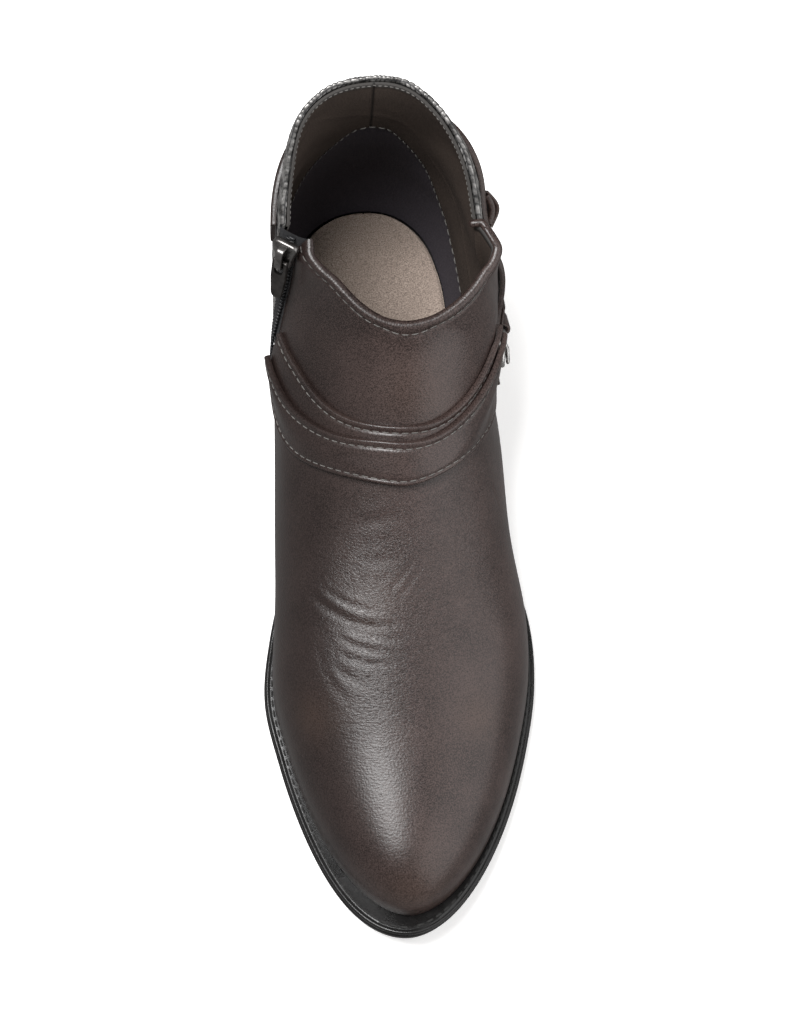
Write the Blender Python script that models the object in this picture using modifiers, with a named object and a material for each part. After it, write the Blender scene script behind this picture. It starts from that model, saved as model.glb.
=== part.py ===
"""A flat ankle boot, the wearer's left one, built on the shape of its last.

Lengths in the tables and in the last's functions are millimetres. A point on the boot is given as
(across, station, height): across the foot towards its outer side, along it from the back of the heel
to the toe, and up from the floor. place() turns that into Blender's metres, with the toe towards -Y.
"Rise" is height above the feather line, the edge where upper and sole meet.
"""
import math
from collections import namedtuple

import bmesh
import bpy
from mathutils import Matrix, Vector

MM = 0.001
MEDIAL = -1
LATERAL = 1

# Driving dimensions
TOE_STATION = 258.8        # feather line at the toe
HEEL_STATION = 5.5         # feather line at the heel
BALL_HEIGHT = 10.0         # feather line over the floor at the ball
HEEL_LIFT = 21.0           # how much higher it is at the heel
LIFT_START = 18.0
LIFT_END = 160.0           # the forefoot's flat spot starts here
SPRING_START = 192.0       # and ends here
TOE_SPRING = 8.0
WALL = 2.2                 # thickness of the upper
GAP = 0.3                  # clearance between neighbours
COLLAR_RISE = 84.0         # vamp's collar over the feather line
BACK_COLLAR_EXTRA = 28.5   # how much higher the collar is at the back
COLLAR_POWER = 1.6         # how long it stays level there before it falls to the seams

# The foot's half widths at the feather line, and how far the wall swells past them
Foot = namedtuple("Foot", "station medial lateral medial_swell lateral_swell")
FOOT = (
    Foot(30.0, 29.5, 28.0, 4.5, 4.5),
    Foot(65.0, 27.5, 31.0, 8.5, 6.5),
    Foot(100.0, 27.0, 34.5, 11.0, 7.5),
    Foot(130.0, 32.0, 39.8, 8.0, 4.0),
    Foot(155.0, 38.3, 45.8, 3.2, 1.5),
    Foot(178.0, 43.1, 48.0, 1.0, 1.0),
    Foot(200.0, 43.1, 48.0, 1.0, 1.0),
)
SWELL_RISE = 26.0          # rise at which the wall is widest
HEEL_POWER = 2.15          # fullness of the heel's curve
ARCH_POWER = 2.6           # roundness of a cross-section towards the ridge

# Where each side starts to close towards the toe, and how full its curve is
Toe = namedtuple("Toe", "start power")
TOE_SHAPE = {MEDIAL: Toe(152.0, 1.86), LATERAL: Toe(149.5, 1.8)}

# Length over which each side closes towards the back, at the sole and at the collar, and what the back
# strap's pull adds to it
Heel = namedtuple("Heel", "sole collar strap")
HEEL_SHAPE = {MEDIAL: Heel(32.0, 17.0, 14.0), LATERAL: Heel(36.0, 32.0, 0.0)}
HEEL_START = 62.0
HEEL_FULL = 104.0
HEEL_STRAP_RISE = 80.0
HEEL_STRAP_HEIGHT = 16.0

# The side view: the stations of the front ridge and of the heel curve at each rise
Profile = namedtuple("Profile", "rise front back")
PROFILE = (
    Profile(0.0, TOE_STATION, HEEL_STATION),
    Profile(8.0, 257.8, 2.5),
    Profile(16.0, 252.8, 1.0),
    Profile(23.0, 243.0, 0.5),
    Profile(29.0, 227.0, 0.7),
    Profile(36.0, 202.0, 1.3),
    Profile(44.0, 176.0, 2.2),
    Profile(53.0, 150.0, 3.5),
    Profile(63.0, 126.0, 4.8),
    Profile(73.0, 102.5, 6.0),
    Profile(85.0, 81.4, 7.2),
    Profile(118.0, 65.5, 8.6),
    Profile(240.0, 56.0, 9.0),
)

# The shaft's half widths, which take over from the foot's as the rise grows
Shaft = namedtuple("Shaft", "rise medial lateral")
SHAFT = (
    Shaft(40.0, 36.0, 39.3),
    Shaft(65.0, 35.0, 33.2),
    Shaft(85.0, 34.7, 35.85),
    Shaft(115.0, 27.2, 28.4),
)
SHAFT_START = 30.0
SHAFT_FULL = 80.0

# The outer side is fuller in front of the ankle
OUTER_FILL = 9.9
FILL_STATION = 76.0
FILL_LENGTH = 25.0
FILL_RISE = 65.0
FILL_HEIGHT = 15.0

# The two panels of the upper: the vamp leans outwards at its collar and steps over the back quarter
LEAN_START = 35.0
LEAN_FULL = 85.0
VAMP_LEAN = 8.3            # on the ridge and the outer side
SEAM_LEAN = 0.6            # where the outer side tucks in at its seam
TUCK_START = 0.5           # turn at which it starts to tuck in
ZIP_LEAN = 9.5             # at the zip
QUARTER_LEAN = 0.5
STRAP_LEAN = 1.2           # where the back strap lies on the vamp
VAMP_STEP = 1.0
SEAM_STATION = 49.5        # the side seams at the collar
SEAM_SLOPE = 0.375         # they run forward on the way down
SEAM_RAMP = 1.5            # length of the step at the outer seam
ZIP_SLOT = 6.0             # width of the open slot at the inner seam
ROWS = 16
ROW_POWER = 1.2            # rows are closer together near the sole
NOTCH_ROW = 13             # the outer seam is open above this row
ZIP_ROW = 4                # and the zip's slot above this one
LOWEST_RISE = 0.3
VAMP_COLUMNS = 40
QUARTER_COLUMNS = 20

# Sole
OUTLINE_POINTS = 64
SIDE_MARGIN = 3.2          # the sole's edge beyond the feather line
TOE_EXTRA = 4.1            # it stands out more at the toe
TOE_EXTRA_TURN = 0.17      # most of all this far to the inner side, as an angle round the outline
TOE_EXTRA_SPREAD = 0.52
WELT_THICK = 3.0
WELT_UNDER = 6.0           # how far the welt reaches in under the upper
SOLE_DROP = BALL_HEIGHT    # underside of the outsole below the feather line
INSOLE_THICK = 3.0
INSOLE_INSET = 3.0

# Edge of the outsole from its underside up, with a groove between two ribs
Edge = namedtuple("Edge", "inset drop")
OUTSOLE_EDGE = (
    Edge(2.4, SOLE_DROP),
    Edge(0.9, 9.0),
    Edge(0.5, 6.6),
    Edge(1.3, 6.2),
    Edge(1.3, 5.6),
    Edge(0.2, 5.2),
    Edge(0.2, 3.8),
    Edge(0.7, WELT_THICK + GAP),
)
WELT_EDGE = (
    Edge(0.9, WELT_THICK),
    Edge(0.4, 2.4),
    Edge(0.6, 1.2),
    Edge(1.8, GAP),
)
INSOLE_EDGE = (
    Edge(0.6, 0.0),
    Edge(0.0, -0.8),
    Edge(0.2, -2.4),
    Edge(1.2, -INSOLE_THICK),
)

# Heel block: its side from the floor up, and the breast that faces the toe
Block = namedtuple("Block", "inset height")
HEEL_SIDE = (
    Block(4.2, 0.0),
    Block(3.4, 0.7),
    Block(3.1, 5.6),
    Block(3.7, 5.9),
    Block(3.7, 6.4),
    Block(3.0, 6.8),
)
HEEL_TOP_INSET = 1.6
HEEL_BREAST = 62.0
HEEL_TAPER = 4.0           # the breast is further back at the floor
HEEL_POINTS = 28

# Straps: sections run across the band, as shares of its width and thickness
STRAP_THICK = 1.5
Fold = namedtuple("Fold", "across lift")
STRAP_SECTION = (
    Fold(0.0, 0.3),
    Fold(0.05, 0.85),
    Fold(0.14, 1.0),
    Fold(0.28, 1.0),
    Fold(0.5, 1.0),
    Fold(0.72, 1.0),
    Fold(0.86, 1.0),
    Fold(0.95, 0.85),
    Fold(1.0, 0.3),
    Fold(0.95, 0.0),
    Fold(0.72, 0.0),
    Fold(0.5, 0.0),
    Fold(0.28, 0.0),
    Fold(0.05, 0.0),
)
STRAP_STEPS = 36
Sweep = namedtuple("Sweep", "middle inner_fall inner_power outer_fall outer_power")
UPPER_STRAP_TOP = Sweep(70.0, 22.8, 2.15, 14.0, 1.8)
UPPER_STRAP_BOTTOM = Sweep(64.5, 29.0, 2.4, 15.5, 2.0)
LOWER_STRAP_TOP = Sweep(68.2, 30.5, 2.35, 14.8, 2.0)
LOWER_STRAP_BOTTOM = Sweep(62.8, 36.0, 2.45, 33.0, 2.6)
STRAP_INNER_END = -0.985
STRAP_OUTER_END = 0.87
OVERLAP_RAMP = 5.0         # the lower strap climbs over the upper one's edge in this rise
OVERLAP_FULL = 1.0         # and only where they overlap by this much
OVERLAP_CLEAR = 0.5        # clearance between the two

# The back strap runs from the zip round the heel and down the outer side to the buckle
Route = namedtuple("Route", "place turn rise")
BACK_STRAP = (
    Route(0, -0.88, 73.0),
    Route(1, -0.5, 80.0),
    Route(2, 0.0, 84.0),
    Route(3, 0.45, 83.0),
    Route(4, 0.7, 78.0),
    Route(5, 0.88, 66.0),
    Route(6, 1.0, 50.0),
    Route(7, 1.08, 42.5),
    Route(8, 1.17, 36.0),
)
BACK_STRAP_HALF = 6.5
BACK_STRAP_TURN = 75.0     # millimetres along the wall for a full turn value
BACK_STRAP_LIFT = 0.5
BACK_STRAP_CLIMB = 0.8     # extra lift where it lies on the vamp
CLIMB_START = 0.8
CLIMB_END = 1.0
BUCKLE_PLACE = 7.0
KEEPER_PLACE = 4.55
TIP_ROUND = 0.6            # length of the rounded tip, in places of the route
TIP_BLUNT = 0.12           # share of the half width, squared, that is left at its end

# Buckle
TRIM_SEAT = 0.6            # clearance of buckle and keeper over the strap's facets
BUCKLE_LENGTH = 13.5
BUCKLE_WIDTH = 17.5
BUCKLE_SQUARENESS = 5.0
BUCKLE_POINTS = 32
BUCKLE_WIRE = 1.0          # radius
PRONG_RADIUS = 0.75
PRONG_HEEL = 3.0           # the prong stays low for this length and then climbs to the front bar
PRONG_HEEL_LIFT = 0.3
PRONG_FLAT = 4.0           # length of its level end before the middle of the front bar
PRONG_OVERHANG = 1.5
LOOP_WIDTH = 9.0
LOOP_THICK = 1.2
LOOP_FLANGE = 6.0
LOOP_CLEAR = 0.6           # between the loop and the bar it wraps
LOOP_CREASE = 0.4          # from the flange to the start of the loop's bend
STRIP_COLUMNS = 4          # columns across a bent strip
LOOP_STEPS = 7
LOOP_TURN = 0.75           # share of a half turn that the loop wraps over the bar
KEEPER_LENGTH = 12.0
KEEPER_PROUD = 3.6
KEEPER_WIDTH = 9.0
KEEPER_STEPS = 10

# Zip
ZIP_STEPS = 20
TAPE_BASE = -0.4           # zip's faces against the wall's outer face
TAPE_TOP = 0.3
TAPE_GAP = 1.0             # at the tape's edges and lower end
TEETH_WIDTH = 3.4
TEETH_COUNT = 30
TEETH_BASE = 0.6
TEETH_VALLEY = 1.1
TEETH_TOP = 1.7
TEETH_START = 3.0          # over the slot's lower end
TEETH_END = 1.0            # below the collar
SLIDER_RISE = 78.0         # middle of the slider
SLIDER_WIDTH = 8.0
SLIDER_LENGTH = 11.0
SLIDER_THICK = 2.8
SLIDER_BASE = 2.0
SLIDER_ROUNDING = 0.8
BRIDGE_WIDTH = 2.6
BRIDGE_HALF = 4.2
BRIDGE_HEIGHT = 3.4
BRIDGE_THICK = 0.9
BRIDGE_SUNK = 0.8          # depth of its feet in the slider
BRIDGE_CORNER = 1.0
PULL_AXIS_ALONG = -1.9     # pull's axis in the slider's own frame
PULL_AXIS_OUT = 1.25
PULL_WIDTH = 6.6
PULL_TIP_WIDTH = 5.0
PULL_LENGTH = 17.0
PULL_THICK = 1.2
PULL_BAR = 0.7             # half depth of the bar inside the bridge
PULL_EYE = 5.0
PULL_EYE_WIDTH = 4.0
PULL_SHOULDER = 3.0        # full width this far below the eye
PULL_CORNER = 1.0
PULL_WELD = 0.05

Finish = namedtuple("Finish", "colour roughness metallic")
LEATHER = Finish((0.075, 0.058, 0.050), 0.4, 0.0)
RUBBER = Finish((0.012, 0.012, 0.013), 0.55, 0.0)
SOCK = Finish((0.10, 0.083, 0.068), 0.95, 0.0)
TAPE = Finish((0.012, 0.012, 0.013), 0.9, 0.0)
PLASTIC = Finish((0.012, 0.012, 0.013), 0.4, 0.0)
METAL = Finish((0.16, 0.15, 0.145), 0.35, 1.0)


def remove_scene_objects():
    for item in list(bpy.data.objects):
        bpy.data.objects.remove(item, do_unlink=True)


def place(across, station, height):
    return Vector((across * MM, -station * MM, height * MM))


def mix(first, second, share):
    return first + (second - first) * share


def smoothstep(value):
    value = min(1.0, max(0.0, value))
    return value * value * (3.0 - 2.0 * value)


def bell(value):
    return math.exp(-value * value)


def lookup(rows, key, column, value):
    """Smooth curve through a table's rows, level before the first and after the last."""
    keys = [getattr(row, key) for row in rows]
    values = [getattr(row, column) for row in rows]
    if value <= keys[0]:
        return values[0]
    if value >= keys[-1]:
        return values[-1]
    last = len(rows) - 1
    index = max(i for i in range(last) if keys[i] <= value)

    def slope(i):
        low = max(i - 1, 0)
        high = min(i + 1, last)
        return (values[high] - values[low]) / (keys[high] - keys[low])

    span = keys[index + 1] - keys[index]
    share = (value - keys[index]) / span
    rest = 1.0 - share
    start = (1.0 + 2.0 * share) * rest * rest * values[index] + share * rest * rest * span * slope(index)
    end = (1.0 + 2.0 * rest) * share * share * values[index + 1]
    return start + end - share * share * rest * span * slope(index + 1)


# The last


def feather_height(station):
    share = min(1.0, max(0.0, (station - LIFT_START) / (LIFT_END - LIFT_START)))
    height = BALL_HEIGHT + HEEL_LIFT * (1.0 + math.cos(math.pi * share)) / 2.0
    spring = max(0.0, (station - SPRING_START) / (TOE_STATION - SPRING_START))
    return height + TOE_SPRING * spring * spring


def front_station(rise):
    return lookup(PROFILE, "rise", "front", rise)


def back_station(rise):
    return lookup(PROFILE, "rise", "back", rise)


def ridge_rise(station):
    """Rise of the front ridge over a station, found by halving."""
    low = PROFILE[0].rise
    high = PROFILE[-1].rise
    for _ in range(40):
        middle = (low + high) / 2.0
        if front_station(middle) > station:
            low = middle
        else:
            high = middle
    return max(low, LOWEST_RISE)


def half_width(side, station, rise):
    """Distance of the last's wall from its middle, on one side of the foot."""
    name = "lateral" if side == LATERAL else "medial"
    toe = TOE_SHAPE[side]
    closing = 1.0
    if station > toe.start:
        share = min(1.0, (station - toe.start) / (TOE_STATION - toe.start))
        closing = (1.0 - share ** toe.power) ** (1.0 / toe.power)
    swell = lookup(FOOT, "station", name + "_swell", station)
    swell *= math.sin(math.pi / 2.0 * min(1.0, rise / SWELL_RISE))
    foot = (lookup(FOOT, "station", name, station) + swell) * closing
    shaft = lookup(SHAFT, "rise", name, rise)
    up_shaft = smoothstep((rise - SHAFT_START) / (SHAFT_FULL - SHAFT_START))
    width = mix(foot, shaft, up_shaft)
    up_heel = smoothstep((rise - HEEL_START) / (HEEL_FULL - HEEL_START))
    heel_round = mix(HEEL_SHAPE[side].sole, HEEL_SHAPE[side].collar, up_heel)
    heel_round += HEEL_SHAPE[side].strap * bell((rise - HEEL_STRAP_RISE) / HEEL_STRAP_HEIGHT)
    reach = station - back_station(rise)
    if reach < heel_round:
        share = min(1.0, max(0.0, 1.0 - reach / heel_round))
        width *= (1.0 - share ** HEEL_POWER) ** (1.0 / HEEL_POWER)
    if side == LATERAL:
        along = bell((station - FILL_STATION) / FILL_LENGTH)
        width += OUTER_FILL * along * bell((rise - FILL_RISE) / FILL_HEIGHT)
    share = min(1.0, rise / ridge_rise(station))
    return width * math.sqrt(1.0 - share ** ARCH_POWER)


def lean(rise, most):
    return most * smoothstep((rise - LEAN_START) / (LEAN_FULL - LEAN_START))


def seam_station(rise):
    return SEAM_STATION + SEAM_SLOPE * (COLLAR_RISE - rise)


def side_of(turn):
    return LATERAL if turn >= 0.0 else MEDIAL


def swing(turn):
    return 1.0 - math.cos(abs(turn) * math.pi / 2.0)


def vamp_point(turn, rise):
    """Point on the vamp: turn is -1 at the zip, 0 on the ridge and 1 at the outer seam."""
    side = side_of(turn)
    front = front_station(rise)
    seam = seam_station(rise) + (SEAM_RAMP if side == LATERAL else ZIP_SLOT) / 2.0
    station = front - (front - seam) * swing(turn)
    most = mix(VAMP_LEAN, ZIP_LEAN, smoothstep(-turn))
    most = mix(most, SEAM_LEAN, max(0.0, (turn - TUCK_START) / (1.0 - TUCK_START)) ** 2)
    across = lean(rise, most) + side * half_width(side, station, rise)
    return place(across, station, feather_height(station) + rise)


def quarter_point(turn, rise):
    """Point on the back quarter: turn is -1 at the zip, 0 at the heel's back and 1 at the outer seam."""
    side = side_of(turn)
    back = back_station(rise)
    seam = seam_station(rise) - (SEAM_RAMP if side == LATERAL else ZIP_SLOT) / 2.0
    station = back + (seam - back) * swing(turn)
    width = half_width(side, station, rise) - VAMP_STEP * swing(turn)
    across = lean(rise, QUARTER_LEAN) + side * width
    return place(across, station, feather_height(station) + rise)


def girth_point(turn, rise):
    """The quarter's wall carried on over the vamp: past turn 1 it runs along the vamp's outer side."""
    side = side_of(turn)
    back = back_station(rise)
    station = back + (seam_station(rise) - back) * swing(turn)
    over_vamp = smoothstep((turn - CLIMB_START) / (CLIMB_END - CLIMB_START))
    across = lean(rise, mix(QUARTER_LEAN, STRAP_LEAN, over_vamp))
    across += side * (half_width(side, station, rise) - VAMP_STEP * swing(turn) * (1.0 - over_vamp))
    return place(across, station, feather_height(station) + rise)


def lifted(surface, outward, turn, rise, lift):
    """Point at a distance from a surface along its normal."""
    small_turn = 0.004
    small_rise = 0.4
    along = surface(turn + small_turn, rise) - surface(turn - small_turn, rise)
    up = surface(turn, rise + small_rise) - surface(turn, rise - small_rise)
    normal = along.cross(up).normalized() * outward
    return surface(turn, rise) + normal * (lift * MM)


# Mesh helpers


def material(name, finish):
    made = bpy.data.materials.new(name)
    made.use_nodes = True
    shader = made.node_tree.nodes["Principled BSDF"]
    shader.inputs["Base Color"].default_value = (*finish.colour, 1.0)
    shader.inputs["Roughness"].default_value = finish.roughness
    shader.inputs["Metallic"].default_value = finish.metallic
    return made


def add_object(name, data, root, finish, collection):
    item = bpy.data.objects.new(name, data)
    item.parent = root
    data.materials.append(material(name + "_finish", finish))
    collection.objects.link(item)
    return item


def mesh_from(name, points, faces, smooth_degrees=40.0):
    """Mesh whose loose copies of a point are welded and whose faces all point outwards."""
    shape = bmesh.new()
    corners = [shape.verts.new(point) for point in points]
    for face in faces:
        shape.faces.new([corners[index] for index in face])
    bmesh.ops.remove_doubles(shape, verts=shape.verts, dist=0.01 * MM)
    bmesh.ops.recalc_face_normals(shape, faces=shape.faces)
    mesh = bpy.data.meshes.new(name)
    shape.to_mesh(mesh)
    shape.free()
    mesh.shade_smooth()
    mesh.set_sharp_from_angle(angle=math.radians(smooth_degrees))
    return mesh


def ring_walls(rings, closed_stack=False):
    """Quads between closed rings of equal length, each ring joined to the next."""
    count = len(rings[0])
    faces = []
    for level in range(len(rings) if closed_stack else len(rings) - 1):
        low = level * count
        high = (level + 1) % len(rings) * count
        for index in range(count):
            after = (index + 1) % count
            faces.append((low + index, low + after, high + after, high + index))
    return faces


def ladder_cap(first, count):
    """Cap of rungs across a ring that is even about its first point and the one opposite."""
    half = count // 2
    faces = [(first, first + 1, first + count - 1)]
    for index in range(1, half - 1):
        faces.append((first + index, first + index + 1, first + count - index - 1, first + count - index))
    faces.append((first + half - 1, first + half, first + half + 1))
    return faces


def breast_cap(first, count):
    """Cap of rungs across a ring whose first and last points are the two ends of its straight side."""
    end = first + count - 1
    faces = []
    for index in range(count // 2 - 1):
        faces.append((first + index, first + index + 1, end - index - 1, end - index))
    return faces


def flatten(rings):
    return [point for ring in rings for point in ring]


# Sole


def sole_margin(angle):
    """How far the sole stands out from the feather line, by the angle round its outline."""
    from_toe = math.remainder(angle + TOE_EXTRA_TURN, 2.0 * math.pi) / TOE_EXTRA_SPREAD
    return SIDE_MARGIN + TOE_EXTRA * bell(from_toe)


def feather_point(angle):
    """(across, station) on the feather line: angle 0 is the toe, a half turn the heel."""
    side = LATERAL if math.sin(angle) >= 0.0 else MEDIAL
    station = mix(HEEL_STATION, TOE_STATION, (1.0 + math.cos(angle)) / 2.0)
    return side * half_width(side, station, 0.0), station


def outline_point(angle, offset):
    """Feather line moved outwards by offset, or inwards where it is negative."""
    step = math.pi / OUTLINE_POINTS
    before = feather_point(angle - step)
    after = feather_point(angle + step)
    run = (after[0] - before[0], after[1] - before[1])
    size = math.hypot(*run)
    across, station = feather_point(angle)
    return across - run[1] / size * offset, station + run[0] / size * offset


def outline_ring(offset, drop):
    """Closed ring at an offset from the feather line and a drop below it."""
    ring = []
    for index in range(OUTLINE_POINTS):
        angle = 2.0 * math.pi * index / OUTLINE_POINTS
        across, station = outline_point(angle, offset(angle))
        ring.append(place(across, station, feather_height(station) - drop))
    return ring


def edge_rings(rows, margin):
    """One ring for each row of an edge, measured in from a margin round the feather line."""
    return [outline_ring(lambda angle, row=row: margin(angle) - row.inset, row.drop) for row in rows]


def build_outsole(root, collection):
    rings = edge_rings(OUTSOLE_EDGE, sole_margin)
    shelf = -WELT_UNDER - GAP
    rings.append(outline_ring(lambda angle: shelf, WELT_THICK + GAP))
    rings.append(outline_ring(lambda angle: shelf, GAP))
    faces = ring_walls(rings) + ladder_cap(0, OUTLINE_POINTS)
    faces += ladder_cap((len(rings) - 1) * OUTLINE_POINTS, OUTLINE_POINTS)
    mesh = mesh_from("outsole", flatten(rings), faces)
    add_object("outsole", mesh, root, RUBBER, collection)


def build_welt(root, collection):
    rings = edge_rings(WELT_EDGE, sole_margin)
    rings.append(outline_ring(lambda angle: -WELT_UNDER, GAP))
    rings.append(outline_ring(lambda angle: -WELT_UNDER, WELT_THICK))
    mesh = mesh_from("welt", flatten(rings), ring_walls(rings, closed_stack=True))
    add_object("welt", mesh, root, RUBBER, collection)


def build_insole(root, collection):
    rings = edge_rings(INSOLE_EDGE, lambda angle: -INSOLE_INSET)
    faces = ring_walls(rings) + ladder_cap(0, OUTLINE_POINTS)
    faces += ladder_cap((len(rings) - 1) * OUTLINE_POINTS, OUTLINE_POINTS)
    mesh = mesh_from("insole", flatten(rings), faces)
    add_object("insole", mesh, root, SOCK, collection)


def heel_ring(inset, breast, height_of):
    """Ring round the heel, from one end of the breast by way of the back to the other end."""
    share = (breast - HEEL_STATION) / (TOE_STATION - HEEL_STATION)
    start = math.acos(2.0 * share - 1.0)
    ring = []
    for index in range(HEEL_POINTS):
        angle = mix(start, 2.0 * math.pi - start, index / (HEEL_POINTS - 1))
        across, station = outline_point(angle, SIDE_MARGIN - inset)
        ring.append(place(across, station, height_of(station)))
    return ring


def build_heel(root, collection):
    rings = []
    for row in HEEL_SIDE:
        breast = HEEL_BREAST - HEEL_TAPER * (1.0 - row.height / HEEL_LIFT)
        rings.append(heel_ring(row.inset, breast, lambda station, row=row: row.height))
    under = SOLE_DROP + GAP
    rings.append(heel_ring(HEEL_TOP_INSET, HEEL_BREAST, lambda station: feather_height(station) - under))
    faces = ring_walls(rings) + breast_cap(0, HEEL_POINTS)
    faces += breast_cap((len(rings) - 1) * HEEL_POINTS, HEEL_POINTS)
    mesh = mesh_from("heel", flatten(rings), faces)
    add_object("heel", mesh, root, RUBBER, collection)


# Upper


def quarter_collar(turn):
    return COLLAR_RISE + BACK_COLLAR_EXTRA * (1.0 - swing(turn) ** COLLAR_POWER)


def build_upper(root, collection):
    """Open surface of vamp and back quarter, joined below the outer notch and below the zip, with a wall."""
    columns = []
    for index in range(QUARTER_COLUMNS + 1):
        turn = mix(-1.0, 1.0, index / QUARTER_COLUMNS)
        columns.append((quarter_point, turn, quarter_collar(turn)))
    for index in range(VAMP_COLUMNS + 1):
        columns.append((vamp_point, mix(1.0, -1.0, index / VAMP_COLUMNS), COLLAR_RISE))
    points = []
    for surface, turn, collar in columns:
        for row in range(ROWS + 1):
            rise = mix(LOWEST_RISE, collar, (row / ROWS) ** ROW_POWER)
            points.append(surface(turn, rise))
    faces = []
    height = ROWS + 1
    for column in range(len(columns)):
        rows = ROWS
        if column == QUARTER_COLUMNS:
            rows = NOTCH_ROW
        if column == len(columns) - 1:
            rows = ZIP_ROW
        beside = (column + 1) % len(columns)
        for row in range(rows):
            low = column * height + row
            other = beside * height + row
            faces.append((low, other, other + 1, low + 1))
    mesh = mesh_from("upper", points, faces)
    item = add_object("upper", mesh, root, LEATHER, collection)
    wall = item.modifiers.new("wall", "SOLIDIFY")
    wall.thickness = WALL * MM
    wall.offset = -1.0


# Straps


def band(name, sections, root, collection, finish):
    """Closed band lofted through its sections, with flat ends."""
    count = len(sections[0])
    faces = ring_walls(sections)
    faces.append(tuple(range(count)))
    faces.append(tuple(range((len(sections) - 1) * count, len(sections) * count)))
    mesh = mesh_from(name, flatten(sections), faces)
    add_object(name, mesh, root, finish, collection)


def sweep_rise(sweep, turn):
    if turn < 0.0:
        return sweep.middle - sweep.inner_fall * (-turn) ** sweep.inner_power
    return sweep.middle - sweep.outer_fall * turn ** sweep.outer_power


def instep_strap(name, top, bottom, lift_at, root, collection):
    sections = []
    for index in range(STRAP_STEPS + 1):
        turn = mix(STRAP_INNER_END, STRAP_OUTER_END, index / STRAP_STEPS)
        section = []
        for fold in STRAP_SECTION:
            rise = mix(sweep_rise(bottom, turn), sweep_rise(top, turn), fold.across)
            lift = lift_at(turn, rise) + fold.lift * STRAP_THICK
            section.append(lifted(vamp_point, 1.0, turn, rise, lift))
        sections.append(section)
    band(name, sections, root, collection, LEATHER)


def lower_strap_lift(turn, rise):
    """The lower strap climbs over the upper one where it lies on it."""
    edge = sweep_rise(UPPER_STRAP_BOTTOM, turn)
    overlap = (sweep_rise(LOWER_STRAP_TOP, turn) - edge) / OVERLAP_FULL
    ramp = (rise - edge + OVERLAP_RAMP) / OVERLAP_RAMP
    return GAP + (STRAP_THICK + OVERLAP_CLEAR) * smoothstep(overlap) * smoothstep(ramp)


def upper_strap_lift(turn, rise):
    return GAP


def build_instep_straps(root, collection):
    instep_strap("strap_upper", UPPER_STRAP_TOP, UPPER_STRAP_BOTTOM, upper_strap_lift, root, collection)
    instep_strap("strap_lower", LOWER_STRAP_TOP, LOWER_STRAP_BOTTOM, lower_strap_lift, root, collection)


def route_at(position):
    return lookup(BACK_STRAP, "place", "turn", position), lookup(BACK_STRAP, "place", "rise", position)


def back_strap_lift(turn):
    return BACK_STRAP_LIFT + BACK_STRAP_CLIMB * smoothstep((turn - CLIMB_START) / (CLIMB_END - CLIMB_START))


def back_strap_spot(position, sideways, lift):
    """Point on the back strap: sideways is up from its middle line, lift is off its inner face."""
    turn, rise = route_at(position)
    ahead = route_at(min(position + 0.05, BACK_STRAP[-1].place))
    behind = route_at(max(position - 0.05, BACK_STRAP[0].place))
    run = ((ahead[0] - behind[0]) * BACK_STRAP_TURN, ahead[1] - behind[1])
    size = math.hypot(*run)
    turn -= run[1] / size * sideways / BACK_STRAP_TURN
    rise += run[0] / size * sideways
    return lifted(girth_point, -1.0, turn, rise, back_strap_lift(turn) + lift)


def build_back_strap(root, collection):
    last = BACK_STRAP[-1].place
    sections = []
    for index in range(STRAP_STEPS + 1):
        position = last * index / STRAP_STEPS
        tip = min(1.0, (last - position) / TIP_ROUND)
        half = BACK_STRAP_HALF * math.sqrt(max(TIP_BLUNT, 1.0 - (1.0 - tip) ** 2))
        section = []
        for fold in STRAP_SECTION:
            sideways = mix(-half, half, fold.across)
            section.append(back_strap_spot(position, sideways, fold.lift * STRAP_THICK))
        sections.append(section)
    band("strap_back", sections, root, collection, LEATHER)


def on_back_strap(position):
    """Mapping of (sideways, along, out) in millimetres to the back strap's face at a place of its route."""
    step = 0.1
    span = back_strap_spot(position + step, 0.0, 0.0) - back_strap_spot(position - step, 0.0, 0.0)
    pitch = span.length / MM / (2.0 * step)

    def spot(sideways, along, out):
        return back_strap_spot(position + along / pitch, sideways, STRAP_THICK + out)

    return spot


def frame_matrix(x_axis, y_axis, z_axis, centre):
    made = Matrix((x_axis, y_axis, z_axis)).transposed().to_4x4()
    made.translation = centre
    return made


def in_frame(frame):
    """Mapping of (sideways, along, out) in millimetres to a flat frame."""
    return lambda sideways, along, out: frame @ (Vector((sideways, along, out)) * MM)


def arched_strip(name, profile, width, thickness, mapping, root, collection, finish):
    """Strip of leather or metal bent along a profile of (along, out) points."""
    points = []
    faces = []
    count = STRIP_COLUMNS + 1
    for index, (along, out) in enumerate(profile):
        for column in range(count):
            sideways = width * (column / STRIP_COLUMNS - 0.5)
            points.append(mapping(sideways, along, out))
            if index and column:
                last = len(points) - 1
                faces.append((last - 1, last, last - count, last - count - 1))
    mesh = mesh_from(name, points, faces)
    item = add_object(name, mesh, root, finish, collection)
    wall = item.modifiers.new("thickness", "SOLIDIFY")
    wall.thickness = thickness * MM
    wall.offset = 0.0
    wall.use_even_offset = True
    return item


def wire(name, points, radius, closed, root, collection, finish):
    """Round wire through a list of points."""
    data = bpy.data.curves.new(name, "CURVE")
    data.dimensions = "3D"
    data.bevel_depth = radius * MM
    data.bevel_resolution = 2
    data.use_fill_caps = True
    spline = data.splines.new("POLY")
    spline.points.add(len(points) - 1)
    for point, spot in zip(spline.points, points):
        point.co = (*spot, 1.0)
    spline.use_cyclic_u = closed
    return add_object(name, data, root, finish, collection)


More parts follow.
